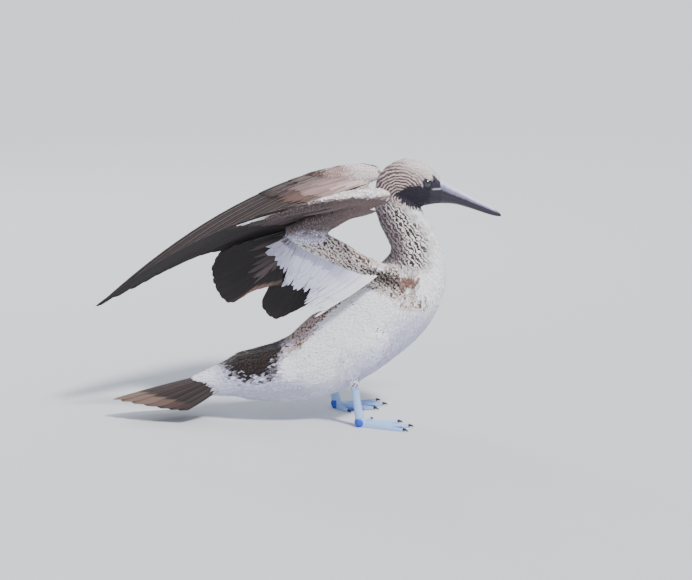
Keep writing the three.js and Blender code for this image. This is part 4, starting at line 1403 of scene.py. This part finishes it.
# Bill, eyes and claws

# Half the gap between the two halves of the bill
MOUTH_GAP = 0.12


def bill_half(name, upper):
    """One half of the bill, lofted along its stations, with a groove beside the ridge."""
    stations = along(np.array(BILL_STATIONS), np.linspace(0, 1, 26))
    bm = bmesh.new()
    rings = []
    for x_ridge, z_ridge, z_mouth, x_low, z_low, half_wide in stations:
        x = (x_ridge + x_low) / 2
        if upper:
            z, high = z_mouth + MOUTH_GAP, z_ridge - z_mouth - MOUTH_GAP
            up = unit(np.array((x_ridge - x, 0, z_ridge - z_mouth)))
            wide = half_wide
        else:
            z, high = z_mouth - MOUTH_GAP, z_mouth - MOUTH_GAP - z_low
            up = unit(np.array((x_low - x, 0, z_low - z_mouth)))
            wide = half_wide * 0.93
        rings.append(oval_ring(bm, (x * MM, 0, z * MM), up, (0, 1, 0), high * MM, wide * MM, 28, 0.08))
    loft(bm, rings)
    mesh = finished(bm, name)
    p = vectors_of(mesh.vertices) / MM
    xs = stations[:, 3]
    ridge, mouth, low, half = (np.interp(p[:, 0], xs, stations[:, k]) for k in (1, 2, 4, 5))
    rise = (p[:, 2] - mouth) / (ridge - mouth)
    if upper:
        groove = np.exp(-((np.abs(rise - 0.62) / 0.07) ** 2)) * smoothstep(200, 206, p[:, 0])
        groove = groove * (1 - smoothstep(262, 276, p[:, 0])) * np.minimum(half / 9, 1)
        p[:, 1] -= np.sign(p[:, 1]) * groove * 0.55
    mesh.vertices.foreach_set("co", (p * MM).ravel())
    reach = np.clip((p[:, 0] - 196) / 87, 0, 1)
    if not upper:
        rise = (p[:, 2] - low) / (mouth - low)
    marks = np.stack([np.clip(rise, 0, 1), reach, np.full(len(p), float(upper))], axis=1)
    vector_layer(mesh, "Marks", marks)
    smooth(mesh)
    mesh.set_sharp_from_angle(angle=math.radians(50))
    return mesh


def bill_material(name, *stops):
    """Dark horn that takes on other shades towards the ridge, and is dark again at the tip."""
    material, tree, shader = new_material(name, 0.32, Specular_IOR_Level=0.5, Coat_Weight=0.15)
    rise, reach, _ = tree.split(tree.attribute("Marks", "Vector"))
    cloud = tree.noise(160.0)
    height = tree.calc("ADD", rise, tree.calc("MULTIPLY", tree.calc("SUBTRACT", cloud, 0.5), 0.22))
    colour = HORN_DARK
    for low, high, shade in stops:
        colour = tree.mixed(tree.step(height, low, high), colour, shade)
    colour = tree.mixed(tree.step(reach, 0.86, 0.99), colour, HORN_DARK)
    tree.put(shader.inputs["Base Color"], colour)
    streak = tree.node(
        "ShaderNodeTexWave", {"bands_direction": "Z"}, Vector=tree.spot(), Scale=300.0, Distortion=3.0
    )
    tree.put(shader.inputs["Normal"], tree.bump(streak.outputs["Fac"], 0.12, 0.0002))
    return material


def eye_mesh(name, side):
    """An eyeball turned the way it looks, with its own axis as an attribute."""
    bm = bmesh.new()
    bmesh.ops.create_uvsphere(bm, u_segments=40, v_segments=28, radius=EYE_RADIUS * MM)
    bmesh.ops.transform(bm, verts=bm.verts, matrix=eye_frame(side))
    mesh = finished(bm, name)
    out = unit(vectors_of(mesh.vertices) - eye_place(side)) @ EYE_OUT[side]
    number_layer(mesh, "Facing", np.degrees(np.arccos(out.clip(-1, 1))))
    smooth(mesh)
    return mesh


def eye_material():
    material, tree, shader = new_material("eye", 0.06, Specular_IOR_Level=0.7, Coat_Weight=1.0)
    facing = tree.attribute("Facing", "Fac")
    iris = tree.mixed(tree.step(facing, 24, 27), tone(0.02, 0.02, 0.03), tone(0.06, 0.05, 0.05))
    whole = tree.mixed(tree.step(facing, 40, 44), iris, tone(0.06, 0.05, 0.06))
    tree.put(shader.inputs["Base Color"], whole)
    return material


def claws(side):
    """The four claws of a foot, each curved down from its toe's tip."""
    word = WORDS[side]
    bm = bmesh.new()
    for toe, (angle, _, _) in TOES.items():
        node = bmesh.new()
        node_copy(node, f"claw_{toe}_{word}")
        p = places_of(node) / MM
        node.free()
        ahead = np.append(toe_ahead(angle, side), 0)
        sideways = np.cross(ahead, (0, 0, 1))
        s = p @ ahead
        base = p[s < s.min() + 0.6]
        root, tip = base.mean(0), p[np.argmax(s)]
        wide, high = np.ptp(p @ sideways) / 2, np.ptp(base[:, 2]) / 2
        rings = []
        for k in np.linspace(0, 1, 9):
            centre = root + (tip - root) * k + np.array((0, 0, 0.9)) * math.sin(math.pi * k)
            thin = (1 - k) ** 0.6 * 0.94 + 0.06
            rings.append(
                oval_ring(bm, centre * MM, (0, 0, 1), sideways, high * thin * MM, wide * thin * MM, 12)
            )
        loft(bm, rings)
    mesh = finished(bm, f"claws_{word}")
    smooth(mesh)
    return mesh


HORN_DARK = tone(0.13, 0.12, 0.17)
HORN_GREY = tone(0.45, 0.44, 0.55)
# The ridge's pale band: partly pale horn and partly a painted highlight of the sun on top
PALE_HORN_AND_GLARE = tone(0.80, 0.79, 0.88)
upper_horn = bill_material("upper_bill", (0.12, 0.34, HORN_GREY), (0.42, 0.7, PALE_HORN_AND_GLARE))
lower_horn = bill_material("lower_bill", (0.75, 1.0, tone(0.24, 0.22, 0.30)))
for name, upper, material in (("bill_upper", True, upper_horn), ("bill_lower", False, lower_horn)):
    mesh = bill_half(f"{name}_horn", upper)
    mesh.materials.append(material)
    shown(f"{name}_horn", mesh, (name,))
eye_shine = eye_material()
claw_horn = new_material("claw_horn", 0.35)[0]
claw_horn.node_tree.nodes["Principled BSDF"].inputs["Base Color"].default_value = (*HORN_DARK, 1)
for side, word in WORDS.items():
    mesh = eye_mesh(f"eyeball_{word}", side)
    mesh.materials.append(eye_shine)
    shown(f"eyeball_{word}", mesh, (f"eye_{word}",))
    mesh = claws(side)
    mesh.materials.append(claw_horn)
    shown(f"claws_{word}", mesh, [f"claw_{toe}_{word}" for toe in TOES])


# Floor, light and camera

def look(piece, way):
    """Turns a lamp or the camera to look along a direction."""
    piece.rotation_mode = "QUATERNION"
    piece.rotation_quaternion = Vector(way).to_track_quat("-Z", "Y")


def area_light(name, place_m, size, watts, colour):
    lamp = bpy.data.lights.new(name, "AREA")
    lamp.shape = "DISK"
    lamp.size = size
    lamp.energy = watts
    lamp.color = colour
    piece = new_piece(name, lamp)
    piece.location = place_m
    look(piece, LAMP_AIM - Vector(place_m))


floor_shape = bmesh.new()
bmesh.ops.create_grid(floor_shape, x_segments=2, y_segments=2, size=25.0)
floor_material, _, floor_shader = new_material("floor", 0.9)
floor_shader.inputs["Base Color"].default_value = (0.62, 0.63, 0.65, 1)
floor_mesh = finished(floor_shape, "floor")
floor_mesh.materials.append(floor_material)
new_piece("floor", floor_mesh)

LAMP_AIM = Vector((0.03, 0.0, 0.2))
sun = bpy.data.lights.new("key", "SUN")
sun.angle = math.radians(9)
sun.energy = 4.6
sun.color = (1.0, 0.975, 0.94)
look(new_piece("key", sun), (-0.5, 0.62, -1.0))
area_light("fill", (-1.6, -2.2, 0.9), 2.0, 10, (0.80, 0.86, 1.0))
area_light("rim", (-0.8, 1.8, 1.6), 0.8, 14, (0.92, 0.96, 1.0))
world = bpy.data.worlds.new("sky")
world.use_nodes = True
sky = world.node_tree.nodes["Background"].inputs
sky["Color"].default_value = (0.82, 0.88, 1.0, 1)
sky["Strength"].default_value = 0.85
bpy.context.scene.world = world

lens = bpy.data.cameras.new("camera")
lens.sensor_width = SENSOR_WIDTH
lens.lens = FOCAL_PIXELS / PHOTO_WIDTH * SENSOR_WIDTH
lens.clip_end = 100.0
camera = new_piece("camera", lens)
camera.location = CAMERA_PLACE
look(camera, CAMERA_AIM - CAMERA_PLACE)
bpy.context.scene.camera = camera
